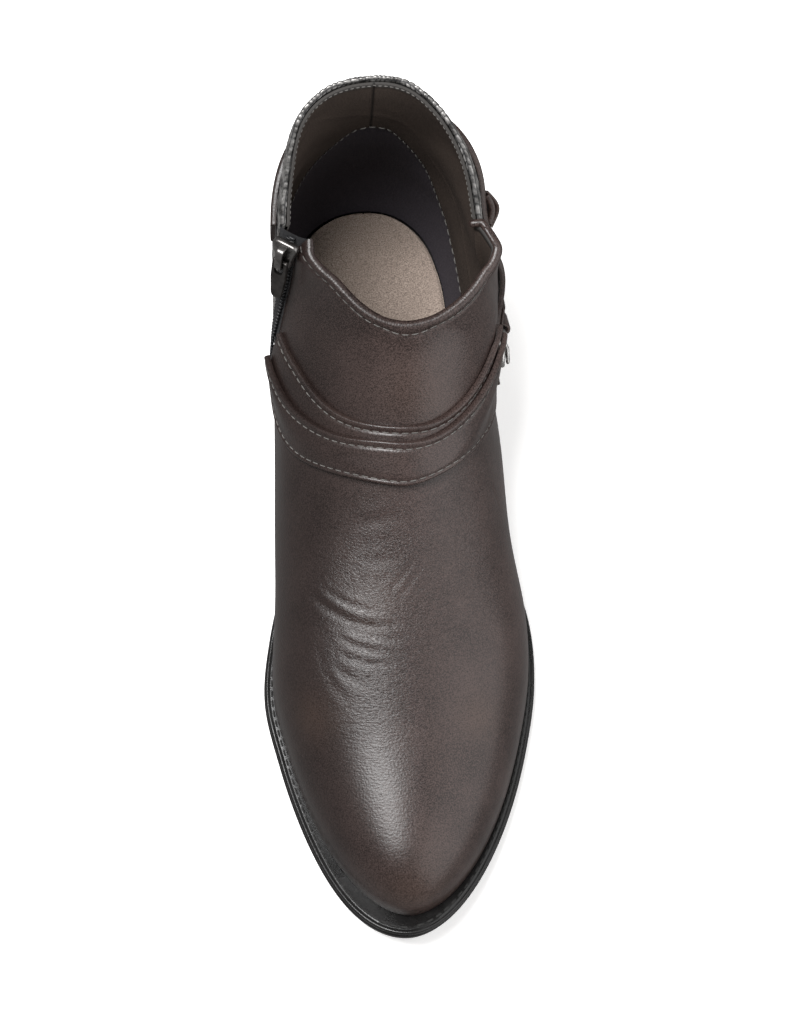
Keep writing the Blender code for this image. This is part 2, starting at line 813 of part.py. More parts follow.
def rounded_rectangle(width, length, squareness, count):
    """Points of a superellipse, from an oval at squareness 2 to a box."""
    points = []
    for index in range(count):
        angle = 2.0 * math.pi * (index + 0.5) / count
        x = math.copysign(abs(math.cos(angle)) ** (2.0 / squareness), math.cos(angle))
        y = math.copysign(abs(math.sin(angle)) ** (2.0 / squareness), math.sin(angle))
        points.append((x * width / 2.0, y * length / 2.0))
    return points


def build_buckle(root, collection):
    """Wire frame along the strap's curve, a prong over its front bar and a loop round its rear bar."""
    spot = on_back_strap(BUCKLE_PLACE)
    level = TRIM_SEAT + BUCKLE_WIRE
    outline = rounded_rectangle(BUCKLE_WIDTH, BUCKLE_LENGTH, BUCKLE_SQUARENESS, BUCKLE_POINTS)
    ring = [spot(sideways, along, level) for sideways, along in outline]
    wire("buckle_frame", ring, BUCKLE_WIRE, True, root, collection, METAL)
    over = level + BUCKLE_WIRE + GAP + PRONG_RADIUS
    rear = -BUCKLE_LENGTH / 2.0 + BUCKLE_WIRE + GAP + PRONG_RADIUS
    front = BUCKLE_LENGTH / 2.0
    route = [(rear, level), (rear + PRONG_HEEL, level + PRONG_HEEL_LIFT)]
    route += [(front - PRONG_FLAT, over), (front + PRONG_OVERHANG, over)]
    prong = [spot(0.0, along, out) for along, out in route]
    wire("buckle_prong", prong, PRONG_RADIUS, False, root, collection, METAL)
    bend = BUCKLE_WIRE + LOOP_CLEAR + LOOP_THICK / 2.0
    floor = TRIM_SEAT + LOOP_THICK / 2.0
    profile = [(-LOOP_FLANGE - bend, floor), (-bend - LOOP_CREASE, floor)]
    for step in range(LOOP_STEPS + 1):
        angle = math.pi * (1.0 - LOOP_TURN * step / LOOP_STEPS)
        profile.append((bend * math.cos(angle), level + bend * math.sin(angle)))
    profile = [(along - BUCKLE_LENGTH / 2.0, out) for along, out in profile]
    arched_strip("buckle_loop", profile, LOOP_WIDTH, LOOP_THICK, spot, root, collection, LEATHER)


def build_keeper(root, collection):
    floor = TRIM_SEAT + LOOP_THICK / 2.0
    profile = []
    for step in range(KEEPER_STEPS + 1):
        share = step / KEEPER_STEPS
        along = mix(-KEEPER_LENGTH / 2.0, KEEPER_LENGTH / 2.0, share)
        profile.append((along, floor + KEEPER_PROUD * math.sin(math.pi * share)))
    spot = on_back_strap(KEEPER_PLACE)
    arched_strip("strap_keeper", profile, KEEPER_WIDTH, LOOP_THICK, spot, root, collection, LEATHER)


# Zip


def zip_frame(rise):
    """Frame on the zip's line: X across it towards the toe, Y up along it, Z outwards."""
    front = vamp_point(-1.0, rise)
    back = quarter_point(-1.0, rise)
    above = vamp_point(-1.0, rise + 1.0) + quarter_point(-1.0, rise + 1.0)
    below = vamp_point(-1.0, rise - 1.0) + quarter_point(-1.0, rise - 1.0)
    up = (above - below).normalized()
    outward = (front - back).cross(up).normalized()
    across = up.cross(outward)
    return frame_matrix(across, up, outward, (front + back) / 2.0)


def zip_section(rise, half, low, high):
    frame = zip_frame(rise)
    corners = ((-half, low), (half, low), (half, high), (-half, high))
    return [frame @ (Vector((side, 0.0, out)) * MM) for side, out in corners]


def slot_half(rise):
    return (vamp_point(-1.0, rise) - quarter_point(-1.0, rise)).length / MM / 2.0


def build_zip(root, collection, cutters):
    slot_end = mix(LOWEST_RISE, COLLAR_RISE, (ZIP_ROW / ROWS) ** ROW_POWER)
    sections = []
    for index in range(ZIP_STEPS + 1):
        rise = mix(slot_end + TAPE_GAP, COLLAR_RISE, index / ZIP_STEPS)
        half = slot_half(rise) - TAPE_GAP
        sections.append(zip_section(rise, half, TAPE_BASE, TAPE_TOP))
    band("zip_tape", sections, root, collection, TAPE)
    sections = []
    for index in range(2 * TEETH_COUNT + 1):
        rise = mix(slot_end + TEETH_START, COLLAR_RISE - TEETH_END, index / (2 * TEETH_COUNT))
        top = TEETH_TOP if index % 2 else TEETH_VALLEY
        sections.append(zip_section(rise, TEETH_WIDTH / 2.0, TEETH_BASE, top))
    band("zip_teeth", sections, root, collection, PLASTIC)
    build_slider(root, collection, cutters)


def build_slider(root, collection, cutters):
    """Slider body with its bridge, and the pull whose bar turns inside the bridge."""
    frame = zip_frame(SLIDER_RISE)
    frame.translation = frame @ (Vector((0.0, 0.0, SLIDER_BASE + SLIDER_THICK)) * MM)
    shape = bmesh.new()
    bmesh.ops.create_cube(shape, size=1.0)
    bmesh.ops.scale(shape, vec=Vector((SLIDER_WIDTH, SLIDER_LENGTH, SLIDER_THICK)) * MM, verts=shape.verts)
    bmesh.ops.translate(shape, vec=Vector((0.0, 0.0, -SLIDER_THICK / 2.0)) * MM, verts=shape.verts)
    mesh = bpy.data.meshes.new("zip_slider")
    shape.to_mesh(mesh)
    shape.free()
    body = add_object("zip_slider", mesh, root, METAL, collection)
    body.matrix_local = frame
    rounding = body.modifiers.new("rounding", "BEVEL")
    rounding.width = SLIDER_ROUNDING * MM
    rounding.segments = 2
    middle = BRIDGE_HEIGHT - BRIDGE_THICK / 2.0
    profile = [(-BRIDGE_HALF, -BRIDGE_SUNK), (-BRIDGE_HALF, middle - BRIDGE_CORNER)]
    profile.append((-BRIDGE_HALF + BRIDGE_CORNER, middle))
    profile += [(-along, out) for along, out in reversed(profile)]
    spot = in_frame(frame)
    bridge = arched_strip("slider_bridge", profile, BRIDGE_WIDTH, BRIDGE_THICK, spot, root, cutters, METAL)
    bridge.hide_render = True
    bridge.display_type = "WIRE"
    union = body.modifiers.new("bridge", "BOOLEAN")
    union.operation = "UNION"
    union.object = bridge
    build_pull(frame, root, collection)


def build_pull(slider_frame, root, collection):
    """Flat tab with an eye; its origin is on the axis of its bar, and it hangs down along the zip."""
    data = bpy.data.curves.new("zip_pull", "CURVE")
    data.dimensions = "2D"
    data.fill_mode = "BOTH"
    data.extrude = PULL_THICK / 2.0 * MM
    half = PULL_WIDTH / 2.0
    tip = PULL_TIP_WIDTH / 2.0
    end = -PULL_LENGTH
    shoulder = -PULL_EYE - PULL_SHOULDER
    outline = [(half, PULL_BAR), (half, shoulder), (tip, end + PULL_CORNER), (tip - PULL_CORNER, end)]
    outline += [(-across, along) for across, along in reversed(outline)]
    eye_half = PULL_EYE_WIDTH / 2.0
    eye_end = -PULL_BAR - PULL_EYE
    eye = [(-eye_half, -PULL_BAR), (eye_half, -PULL_BAR), (eye_half, eye_end), (-eye_half, eye_end)]
    for points in (outline, eye):
        spline = data.splines.new("POLY")
        spline.points.add(len(points) - 1)
        for point, spot in zip(spline.points, points):
            point.co = (spot[0] * MM, spot[1] * MM, 0.0, 1.0)
        spline.use_cyclic_u = True
    pull = add_object("zip_pull", data, root, METAL, collection)
    weld = pull.modifiers.new("weld", "WELD")
    weld.merge_threshold = PULL_WELD * MM
    frame = slider_frame.copy()
    frame.translation = slider_frame @ (Vector((0.0, PULL_AXIS_ALONG, PULL_AXIS_OUT)) * MM)
    pull.matrix_local = frame


def stand_on_origin(root, collection):
    """Move the root so that the boot's box stands centred on the origin."""
    graph = bpy.context.evaluated_depsgraph_get()
    points = []
    for item in collection.objects:
        shown = item.evaluated_get(graph)
        points += [shown.matrix_world @ corner.co for corner in shown.to_mesh().vertices]
        shown.to_mesh_clear()
    low = [min(point[axis] for point in points) for axis in range(3)]
    high = [max(point[axis] for point in points) for axis in range(3)]
    root.location = (-(low[0] + high[0]) / 2.0, -(low[1] + high[1]) / 2.0, -low[2])
    bpy.context.view_layer.update()


def build_boot():
    remove_scene_objects()
    collection = bpy.data.collections.new("ankle_boot")
    cutters = bpy.data.collections.new("joined_forms")
    for made in (collection, cutters):
        bpy.context.scene.collection.children.link(made)
    root = bpy.data.objects.new("boot_root", None)
    bpy.context.scene.collection.objects.link(root)
    build_outsole(root, collection)
    build_welt(root, collection)
    build_heel(root, collection)
    build_insole(root, collection)
    build_upper(root, collection)
    build_instep_straps(root, collection)
    build_back_strap(root, collection)
    build_buckle(root, collection)
    build_keeper(root, collection)
    build_zip(root, collection, cutters)
    bpy.context.view_layer.update()
    stand_on_origin(root, collection)


build_boot()
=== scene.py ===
"""A flat ankle boot, the wearer's left one, dressed in leather, cloth, rubber and metal on a pale floor.

Lengths are millimetres until they go into a mesh. A panel of the upper is a surface over (turn, rise): turn
runs round the foot, rise is height above the feather line, the edge where upper and sole meet. Stations run
along the foot from the back of the heel to the toe, and across is towards the outer side of the foot.
"""

import math
from collections import namedtuple

import bpy
import numpy as np
from mathutils import Matrix, Vector


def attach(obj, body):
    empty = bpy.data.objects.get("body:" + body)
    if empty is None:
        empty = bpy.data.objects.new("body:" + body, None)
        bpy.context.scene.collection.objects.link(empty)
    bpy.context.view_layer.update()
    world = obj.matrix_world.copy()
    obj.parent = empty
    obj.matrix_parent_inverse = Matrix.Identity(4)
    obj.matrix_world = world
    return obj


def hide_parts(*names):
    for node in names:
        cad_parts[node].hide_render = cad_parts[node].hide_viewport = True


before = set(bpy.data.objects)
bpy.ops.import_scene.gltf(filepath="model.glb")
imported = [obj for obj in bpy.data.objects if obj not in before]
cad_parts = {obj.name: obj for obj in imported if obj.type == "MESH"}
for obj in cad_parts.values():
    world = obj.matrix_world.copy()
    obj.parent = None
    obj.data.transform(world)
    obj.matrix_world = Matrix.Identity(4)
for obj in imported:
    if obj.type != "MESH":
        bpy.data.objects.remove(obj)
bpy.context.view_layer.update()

MM = 0.001
MEDIAL = -1
LATERAL = 1
BOOT = "boot"
PULL = "pull_tab"
UPWARDS = np.array([0.0, 0.0, 1.0])
SMOOTH_ANGLE = 50.0        # degrees; sharper edges of a mesh are kept

# The last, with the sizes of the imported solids
CENTRE_ACROSS = 2.456      # the last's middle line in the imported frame
CENTRE_STATION = 133.014
TOE_STATION = 258.8
HEEL_STATION = 5.5
BALL_HEIGHT = 10.0
HEEL_LIFT = 21.0
LIFT_START = 18.0
LIFT_END = 160.0
SPRING_START = 192.0
TOE_SPRING = 8.0
COLLAR_RISE = 84.0
BACK_COLLAR_EXTRA = 28.5
COLLAR_POWER = 1.6

Foot = namedtuple("Foot", "station medial lateral medial_swell lateral_swell")
FOOT = (
    Foot(30.0, 29.5, 28.0, 4.5, 4.5),
    Foot(65.0, 27.5, 31.0, 8.5, 6.5),
    Foot(100.0, 27.0, 34.5, 11.0, 7.5),
    Foot(130.0, 32.0, 39.8, 8.0, 4.0),
    Foot(155.0, 38.3, 45.8, 3.2, 1.5),
    Foot(178.0, 43.1, 48.0, 1.0, 1.0),
    Foot(200.0, 43.1, 48.0, 1.0, 1.0),
)
SWELL_RISE = 26.0
HEEL_POWER = 2.15
ARCH_POWER = 2.6

Toe = namedtuple("Toe", "start power")
TOE_SHAPE = {MEDIAL: Toe(152.0, 1.86), LATERAL: Toe(149.5, 1.8)}
Heel = namedtuple("Heel", "sole collar strap")
HEEL_SHAPE = {MEDIAL: Heel(32.0, 17.0, 14.0), LATERAL: Heel(36.0, 32.0, 0.0)}
HEEL_START = 62.0
HEEL_FULL = 104.0
HEEL_STRAP_RISE = 80.0
HEEL_STRAP_HEIGHT = 16.0

Profile = namedtuple("Profile", "rise front back")
PROFILE = (
    Profile(0.0, TOE_STATION, HEEL_STATION),
    Profile(8.0, 257.8, 2.5),
    Profile(16.0, 252.8, 1.0),
    Profile(23.0, 243.0, 0.5),
    Profile(29.0, 227.0, 0.7),
    Profile(36.0, 202.0, 1.3),
    Profile(44.0, 176.0, 2.2),
    Profile(53.0, 150.0, 3.5),
    Profile(63.0, 126.0, 4.8),
    Profile(73.0, 102.5, 6.0),
    Profile(85.0, 81.4, 7.2),
    Profile(118.0, 65.5, 8.6),
    Profile(240.0, 56.0, 9.0),
)
RIDGE_SAMPLES = 4801

Shaft = namedtuple("Shaft", "rise medial lateral")
SHAFT = (
    Shaft(40.0, 36.0, 39.3),
    Shaft(65.0, 35.0, 33.2),
    Shaft(85.0, 34.7, 35.85),
    Shaft(115.0, 27.2, 28.4),
)
SHAFT_START = 30.0
SHAFT_FULL = 80.0
OUTER_FILL = 9.9
FILL_STATION = 76.0
FILL_LENGTH = 25.0
FILL_RISE = 65.0
FILL_HEIGHT = 15.0

LEAN_START = 35.0
LEAN_FULL = 85.0
VAMP_LEAN = 8.3
SEAM_LEAN = 0.6
TUCK_START = 0.5
ZIP_LEAN = 9.5
QUARTER_LEAN = 0.5
STRAP_LEAN = 1.2
VAMP_STEP = 1.0
SEAM_STATION = 49.5
SEAM_SLOPE = 0.375
SEAM_OVERLAP = 1.0         # the vamp reaches this far back over the quarter at the outer seam
ZIP_SLOT = 6.0
SEAM_RAMP = 1.5
LOWEST_RISE = 0.3
FOOT_RISE = -0.2           # the skins reach down to here, just over the welt
NORMAL_TURN = 0.004        # steps over a panel to both sides of a place, for its normal
NORMAL_RISE = 0.4

# Upper
VAMP_COLUMNS = 340
VAMP_ROWS = 220
QUARTER_COLUMNS = 260
QUARTER_ROWS = 170
FOLD_STEPS = 8
Roll = namedtuple("Roll", "radius width swell stitch groove groove_width inside")
VAMP_ROLL = Roll(1.4, 2.2, 0.4, 3.0, 0.45, 0.55, (1.5, 3.0, 5.0))
CORNER_START = 0.95        # the rolled edge at the outer corner turns inwards over the quarter's rim
CORNER_STEPS = 10
CORNER_REACH = 4.6
CORNER_FALL = 0.12
CORNER_SMOOTHING = 3
CORNER_SETBACK = 0.5       # its normal is read this far below the collar
CORNER_BLUNT = 8           # power that rounds off both of its ends
CORNER_TIP = 0.1
ZIP_COVER = 0.32           # share of the zip's slot that the vamp's edge covers
COVER_START = 0.75
COVER_DROP = 5.0
FOOT_COVER = 1.03          # below the slot the vamp meets the quarter
FOOT_BLEND = 2.5
QUARTER_ROLL = Roll(0.9, 1.8, 0.1, 2.4, 0.15, 0.5, (1.0, 2.0, 3.0))

# Creases of the vamp: a curve through three places of (turn, rise), with its depth and half width
Crease = namedtuple("Crease", "start middle end depth width")
CREASES = (
    Crease((-0.50, 40.0), (-0.27, 44.2), (0.00, 46.2), 0.55, 1.5),
    Crease((-0.41, 40.6), (-0.20, 44.0), (0.04, 44.9), 0.42, 1.3),
    Crease((-0.34, 41.2), (-0.21, 42.6), (-0.06, 43.6), 0.30, 1.1),
    Crease((-0.44, 43.2), (-0.30, 45.6), (-0.12, 47.4), 0.24, 1.0),
    Crease((-0.30, 39.8), (-0.17, 41.4), (-0.02, 42.2), 0.22, 0.9),
    Crease((-0.36, 37.6), (-0.25, 38.6), (-0.14, 39.6), 0.16, 1.3),
    Crease((-0.42, 37.8), (-0.33, 36.0), (-0.20, 36.6), 0.10, 1.5),
    Crease((-0.07, 49.6), (0.01, 51.6), (0.10, 53.8), 0.12, 1.0),
    Crease((-0.02, 49.2), (0.06, 50.9), (0.14, 53.0), 0.10, 0.9),
    Crease((-0.32, 54.6), (-0.16, 57.6), (-0.01, 59.2), 0.12, 2.0),
    Crease((-0.26, 51.0), (-0.13, 53.0), (-0.02, 53.6), 0.12, 1.6),
    Crease((0.36, 52.0), (0.345, 50.0), (0.33, 47.4), 0.12, 1.0),
    Crease((0.30, 50.6), (0.28, 48.6), (0.26, 46.0), 0.10, 1.0),
    Crease((0.66, 43.4), (0.69, 40.2), (0.71, 35.6), 0.15, 1.0),
    Crease((0.12, 46.4), (0.24, 44.2), (0.33, 40.8), 0.14, 1.4),
)
CREASE_SAMPLES = 40
CREASE_RIDGE = 0.45        # height of the ridges beside a crease, as a share of its depth
CREASE_RIDGE_GAP = 2.0     # their distance from it, in its half widths
CREASE_REACH = 5.0         # in its half widths; nothing moves further off
CREASE_FADE = 0.7          # power of its fading towards both ends
GRAIN_CENTRE = (-0.10, 66.0)   # (turn, rise) that the vamp's fine wrinkles run round
GRAIN_ROUND = 16.0

# Soft round zones of the vamp: place, radius and strength
Zone = namedtuple("Zone", "turn rise radius share")
FLEX_LEAST = 0.12
FLEX_ZONES = (
    Zone(-0.25, 43.0, 28.0, 0.9),
    Zone(0.10, 49.0, 22.0, 0.6),
    Zone(0.55, 46.0, 34.0, 0.8),
    Zone(-0.05, 34.0, 18.0, 0.35),
)
WORN_ZONES = (
    Zone(-0.43, 28.8, 9.0, 1.0),
    Zone(0.355, 30.8, 8.0, 0.4),
    Zone(-0.15, 48.0, 12.0, 0.35),
    Zone(0.1, 74.0, 14.0, 0.25),
    Zone(0.0, 12.0, 14.0, 0.4),
)

# Crocodile blocks of the back quarter
BLOCK_HEIGHT = 2.4
BLOCK_LENGTH = (2.0, 3.8)
BLOCK_GROOVE = 0.3         # half width of the groove
GROOVE_FLOOR = 0.4         # share of it that is black
GROOVE_SLOPE = 1.6         # share of it over which the black fades
BLOCK_RELIEF = 0.35
BLOCK_SUNK = 0.6           # share of the relief that lies below the leather's surface
BLOCK_SHOULDER = 1.0
BLOCK_SEED = 11
COURSE_BLOCKS = 160
Wave = namedtuple("Wave", "height along up")
COURSE_WAVES = (Wave(0.5, 7.0, math.inf), Wave(0.35, 3.1, 9.0))    # bends of the courses
JOINT_WAVE = 0.4           # bends of the joints between a course's blocks
JOINT_TURN = 1.3

# Lining and insole
LINING_INSET = 3.1
LINING_DROP = 0.9          # its edge below the collar's
LINING_ROLL = Roll(0.55, 1.4, 0.12, 2.1, 0.3, 0.35, ())
LINING_COLUMNS = 200
LINING_ROWS = 90
LINING_FLOOR = 1.0
LINING_REACH = 0.995       # turn at which its front half ends, on both sides
PIPING_WIDTH = 1.5         # grey binding along the lining's edge, with stitches on it
PIPING_BLEND = 0.3
PIPING_STITCH = 0.5
CRACK_PAINTED_SHADE = 0.9          # painted shade: darkness of the groove under the binding
JOIN_COLUMNS = 8           # of the strip that joins its two halves at the outer seam
FOLD_WIDTH = 1.2
FOLD_HEIGHT = 0.3
BACK_SEAM_WIDTH = 0.006    # in turn
BACK_SEAM_SHADE = 0.8
BACK_SEAM_DEPTH = 0.5
TOE_BOX_RISE = 60.0        # the front half is dark below this
TOE_BOX_BLEND = 14.0
POCKET_BLEND = 1.2
POCKET_DEPTH = 0.5
POCKET_END = 0.98          # turn at which the pocket's stitches end
POCKET_POINTS = 200
POCKET_STITCH_RISE = 1.0   # above the pocket's edge
POCKET_STITCH_LIFT = 0.15
Pocket = namedtuple("Pocket", "turn rise")
POCKET_LINE = (
    Pocket(0.0, 75.0),
    Pocket(0.1, 72.0),
    Pocket(0.2, 63.0),
    Pocket(0.3, 50.0),
    Pocket(0.4, 36.0),
    Pocket(0.5, 26.0),
    Pocket(0.6, 22.0),
    Pocket(1.0, 17.0),
)
LINING_FOLD = (
    Pocket(-1.0, 84.0),
    Pocket(-0.4, 95.0),
    Pocket(-0.2, 90.0),
    Pocket(0.08, 85.0),
    Pocket(0.25, 76.0),
    Pocket(0.37, 62.0),
    Pocket(0.55, 51.0),
    Pocket(1.0, 40.0),
)
INSOLE_THICK = 3.0
INSOLE_INSET = 3.0
INSOLE_ROWS = 160
INSOLE_COLUMNS = 48
INSOLE_DISH = 1.2
INSOLE_DISH_POWER = 4
INSOLE_TUCK = 0.8          # drop of its edge
INSOLE_TUCK_START = 0.96   # share of its half width where the drop begins
INSOLE_TUCK_WIDTH = 0.04
INSOLE_SKIRT = 2.0
INSOLE_END = 0.004         # angle round the outline that is left out at toe and heel

# Straps
STRAP_THICK = 1.5
STRAP_GAP = 0.3
STRAP_STEPS = 220
STRAP_FACE = 44
STRAP_EDGE = 0.8
STRAP_EDGE_THICK = 0.15    # share of the thickness at the very edge
STRAP_ROLL = Roll(1.0, 2.0, 0.35, 2.7, 0.35, 0.5, ())
STRAP_LOWER_STITCH = 1.7
Sweep = namedtuple("Sweep", "middle inner_fall inner_power outer_fall outer_power")
UPPER_STRAP_TOP = Sweep(70.0, 22.8, 2.15, 14.0, 1.8)
UPPER_STRAP_BOTTOM = Sweep(64.5, 29.0, 2.4, 15.5, 2.0)
LOWER_STRAP_TOP = Sweep(68.2, 30.5, 2.35, 14.8, 2.0)
LOWER_STRAP_BOTTOM = Sweep(62.8, 36.0, 2.45, 33.0, 2.6)
STRAP_INNER_END = -0.985
STRAP_OUTER_END = 0.87
OVERLAP_RAMP = 5.0
OVERLAP_CLEAR = 0.5
OVERLAP_FULL = 1.0

Route = namedtuple("Route", "place turn rise")
BACK_STRAP = (
    Route(0, -0.88, 73.0),
    Route(1, -0.5, 80.0),
    Route(2, 0.0, 84.0),
    Route(3, 0.45, 83.0),
    Route(4, 0.7, 78.0),
    Route(5, 0.88, 66.0),
    Route(6, 1.0, 50.0),
    Route(7, 1.08, 42.5),
    Route(8, 1.17, 36.0),
)
BACK_STRAP_HALF = 6.5
BACK_STRAP_TURN = 75.0
BACK_STRAP_LIFT = 0.5
BACK_STRAP_CLIMB = 0.8
CLIMB_START = 0.8
CLIMB_END = 1.0
ROUTE_STEP = 0.05          # places to both sides, for the strap's direction
BUCKLE_PLACE = 7.0
KEEPER_PLACE = 4.55
TIP_ROUND = 0.6
TIP_BLUNT = 0.12

# Buckle
TRIM_SEAT = 0.6
BUCKLE_LENGTH = 13.5
BUCKLE_WIDTH = 17.5
BUCKLE_SQUARENESS = 5.0
BUCKLE_POINTS = 120
BUCKLE_WIRE = 1.0
PRONG_RADIUS = 0.75
PRONG_HEEL = 3.0
PRONG_HEEL_LIFT = 0.3
PRONG_FLAT = 4.0
PRONG_OVERHANG = 1.5
PRONG_POINTS = 40
PRONG_BLUNT = 12           # power that rounds off both of its ends
PRONG_TIP = 0.02
LOOP_WIDTH = 9.0
LOOP_THICK = 1.2
LOOP_FLANGE = 6.0
LOOP_CLEAR = 0.6
LOOP_CREASE = 0.4
LOOP_STEPS = 16
LOOP_TURN = 0.75
KEEPER_LENGTH = 12.0
KEEPER_WIDTH = 9.0
KEEPER_STEPS = 28
Layer = namedtuple("Layer", "reach proud thick")
KEEPER_LAYERS = (Layer(1.0, 3.6, LOOP_THICK), Layer(0.8, 1.7, 2.2))    # the loop and a shorter fold inside it
STRIP_COLUMNS = 12
STRIP_SQUARE = 0.25        # powers that square off a strip's section, across and through it
STRIP_ROUND = 0.5
WIRE_SIDES = 14

# Stitches: (pitch, length, radius)
Stitch = namedtuple("Stitch", "pitch length radius")
FRONT_STITCH = Stitch(3.3, 2.5, 0.2)
RIM_STITCH = Stitch(1.9, 1.4, 0.2)
POCKET_STITCH = Stitch(3.4, 2.4, 0.22)
WELT_STITCH = Stitch(3.6, 2.7, 0.36)
STITCH_ALONG = np.array([-1.0, -0.8, -0.35, 0.35, 0.8, 1.0])
STITCH_SIZE = np.array([0.15, 0.8, 1.0, 1.0, 0.8, 0.15])
STITCH_LIFT = np.array([-0.5, 0.15, 0.5, 0.5, 0.15, -0.5])
STITCH_SIDES = 8

# Sole
OUTLINE_POINTS = 420
OUTLINE_STEP = math.pi / 64.0   # angle to both sides, for the outline's direction
SIDE_MARGIN = 3.2
TOE_EXTRA = 4.1
TOE_EXTRA_TURN = 0.17
TOE_EXTRA_SPREAD = 0.52
WELT_THICK = 3.0
WELT_UNDER = 6.0
SOLE_DROP = BALL_HEIGHT
Edge = namedtuple("Edge", "inset drop")
OUTSOLE_EDGE = (
    Edge(3.4, 10.0),
    Edge(2.4, 9.98),
    Edge(1.5, 9.7),
    Edge(0.95, 9.1),
    Edge(0.6, 7.4),
    Edge(0.45, 6.8),
    Edge(0.55, 6.55),
    Edge(1.15, 6.35),
    Edge(1.3, 6.0),
    Edge(1.15, 5.6),
    Edge(0.4, 5.35),
    Edge(0.15, 5.05),
    Edge(0.1, 4.5),
    Edge(0.2, 3.95),
    Edge(0.55, 3.6),
    Edge(1.1, 3.4),
)
WELT_EDGE = (
    Edge(1.1, 3.0),
    Edge(0.6, 2.85),
    Edge(0.4, 2.5),
    Edge(0.4, 2.0),
    Edge(0.5, 1.5),
    Edge(0.85, 1.15),
    Edge(1.2, 1.05),
    Edge(1.45, 1.1),
    Edge(1.65, 0.9),
    Edge(1.9, 0.55),
    Edge(2.4, 0.45),
    Edge(3.4, 0.45),
    Edge(5.0, 0.5),
    Edge(7.0, 0.4),
)
WELT_STITCH_LINE = Edge(2.7, 0.42)

Block = namedtuple("Block", "inset height")
HEEL_SIDE = (
    Block(4.6, 0.0),
    Block(4.0, 0.05),
    Block(3.5, 0.4),
    Block(3.35, 1.0),
    Block(3.1, 5.4),
    Block(3.2, 5.6),
    Block(3.6, 5.8),
    Block(3.7, 6.1),
    Block(3.6, 6.4),
    Block(3.1, 6.6),
    Block(2.95, 6.9),
)
HEEL_TOP_INSET = 1.6
HEEL_BREAST = 62.0
HEEL_TAPER = 4.0
HEEL_POINTS = 200
HEEL_GAP = 0.3

# Zip
ZIP_STEP = 1.0             # rise to both sides, for the zip's direction
TAPE_TOP = 0.3
TAPE_EDGE = 0.3
TAPE_ROWS = 120
TAPE_COLUMNS = 12
TAPE_DIP = 0.9             # its edges below its middle
TAPE_DIP_POWER = 3
TEETH_WIDTH = 3.4
TEETH_PAIRS = 46
TEETH_BASE = 0.5
TEETH_TOP = 1.7
SLOT_END = 15.8            # rise of the slot's lower end
TEETH_START = 3.0
TEETH_END = 1.0
TOOTH_ROWS = 7
TOOTH_SIDES = 10
TOOTH_SQUARE = 0.5         # powers that square off a ball
TOOTH_ROUND = 0.6
TOOTH_HALF_WIDTH = 0.36    # share of the teeth's width
TOOTH_HALF_PITCH = 0.62    # share of the pitch
TOOTH_SHIFT = 0.15         # share of the teeth's width, to one side and the other
SLIDER_RISE = 78.0
SLIDER_CROWN = 9.6
SLIDER_WAIST = 0.68        # width of its lower end, as a share of the crown's
WAIST_START = 0.2
WAIST_LENGTH = 1.2
SLIDER_LENGTH = 11.0
SLIDER_THICK = 2.8
SLIDER_BASE = 2.0
SLIDER_SQUARENESS = 5.0
SLIDER_POINTS = 120
Rim = namedtuple("Rim", "inset out")
SLIDER_RIMS = (
    Rim(2.4, 0.12),
    Rim(1.2, 0.08),
    Rim(0.5, -0.1),
    Rim(0.12, -0.45),
    Rim(0.0, -0.9),
    Rim(0.0, -2.3),
    Rim(0.5, -2.8),
)
BRIDGE_WIDTH = 2.6
BRIDGE_HALF = 4.2
BRIDGE_HEIGHT = 3.4
BRIDGE_THICK = 0.9
BRIDGE_SUNK = 0.8
BRIDGE_STEPS = 24
BRIDGE_POWER = 0.35        # squares off its bow
PULL_AXIS_ALONG = -1.9
PULL_AXIS_OUT = 1.25
PULL_WIDTH = 5.8
PULL_TIP_WIDTH = 4.2
PULL_LENGTH = 17.0
PULL_THICK = 1.2
PULL_BAR = 0.7
PULL_EYE = 5.0
PULL_EYE_WIDTH = 3.4
PULL_SHOULDER = 3.0
PULL_BEVEL = 0.3
PULL_POINTS = 96
PULL_TIP_CUT = 1.0         # cut off the corners of its tip
PULL_SMOOTHING = 2
PULL_EYE_SQUARENESS = 4.0
PULL_EYE_POINTS = 720
PULL_SHARP = 35.0          # degrees

# Camera: the photograph's place and aim, then turned on itself to bring the one boot to the middle
CAMERA_PLACE = (-71.6, 580.1, 1315.6)      # across, station, height
PHOTO_AIM = (-44.4, 102.0, 0.0)
FOCAL_PIXELS = 3976.0
FRAME_HEIGHT = 1013.0
BOOT_PIXELS = (147.5, -5.0)    # the boot's middle, right of and above the photograph's
SENSOR = 36.0
CLIP_START = 0.05          # metres

# Stage, in metres and watts
FLOOR_HALF = 6.0
FLOOR_COLOUR = (0.93, 0.925, 0.92)
FLOOR_ROUGHNESS = 0.75
FLOOR_GLOW = 0.4           # keeps the paper white in the soft shadow beside the boot
GLOW_COLOUR = (1.0, 0.995, 0.99, 1.0)
WORLD_COLOUR = (1.0, 0.99, 0.98, 1.0)
WORLD_STRENGTH = 0.3
Light = namedtuple("Light", "name place aim size power")
LIGHTS = (
    Light("overhead", (-0.47, 0.05, 1.5), (0.0, -0.06, 0.0), 0.7, 36.0),
    Light("front_right", (1.6, -0.7, 1.2), (0.0, 0.0, 0.05), 2.6, 34.0),
)

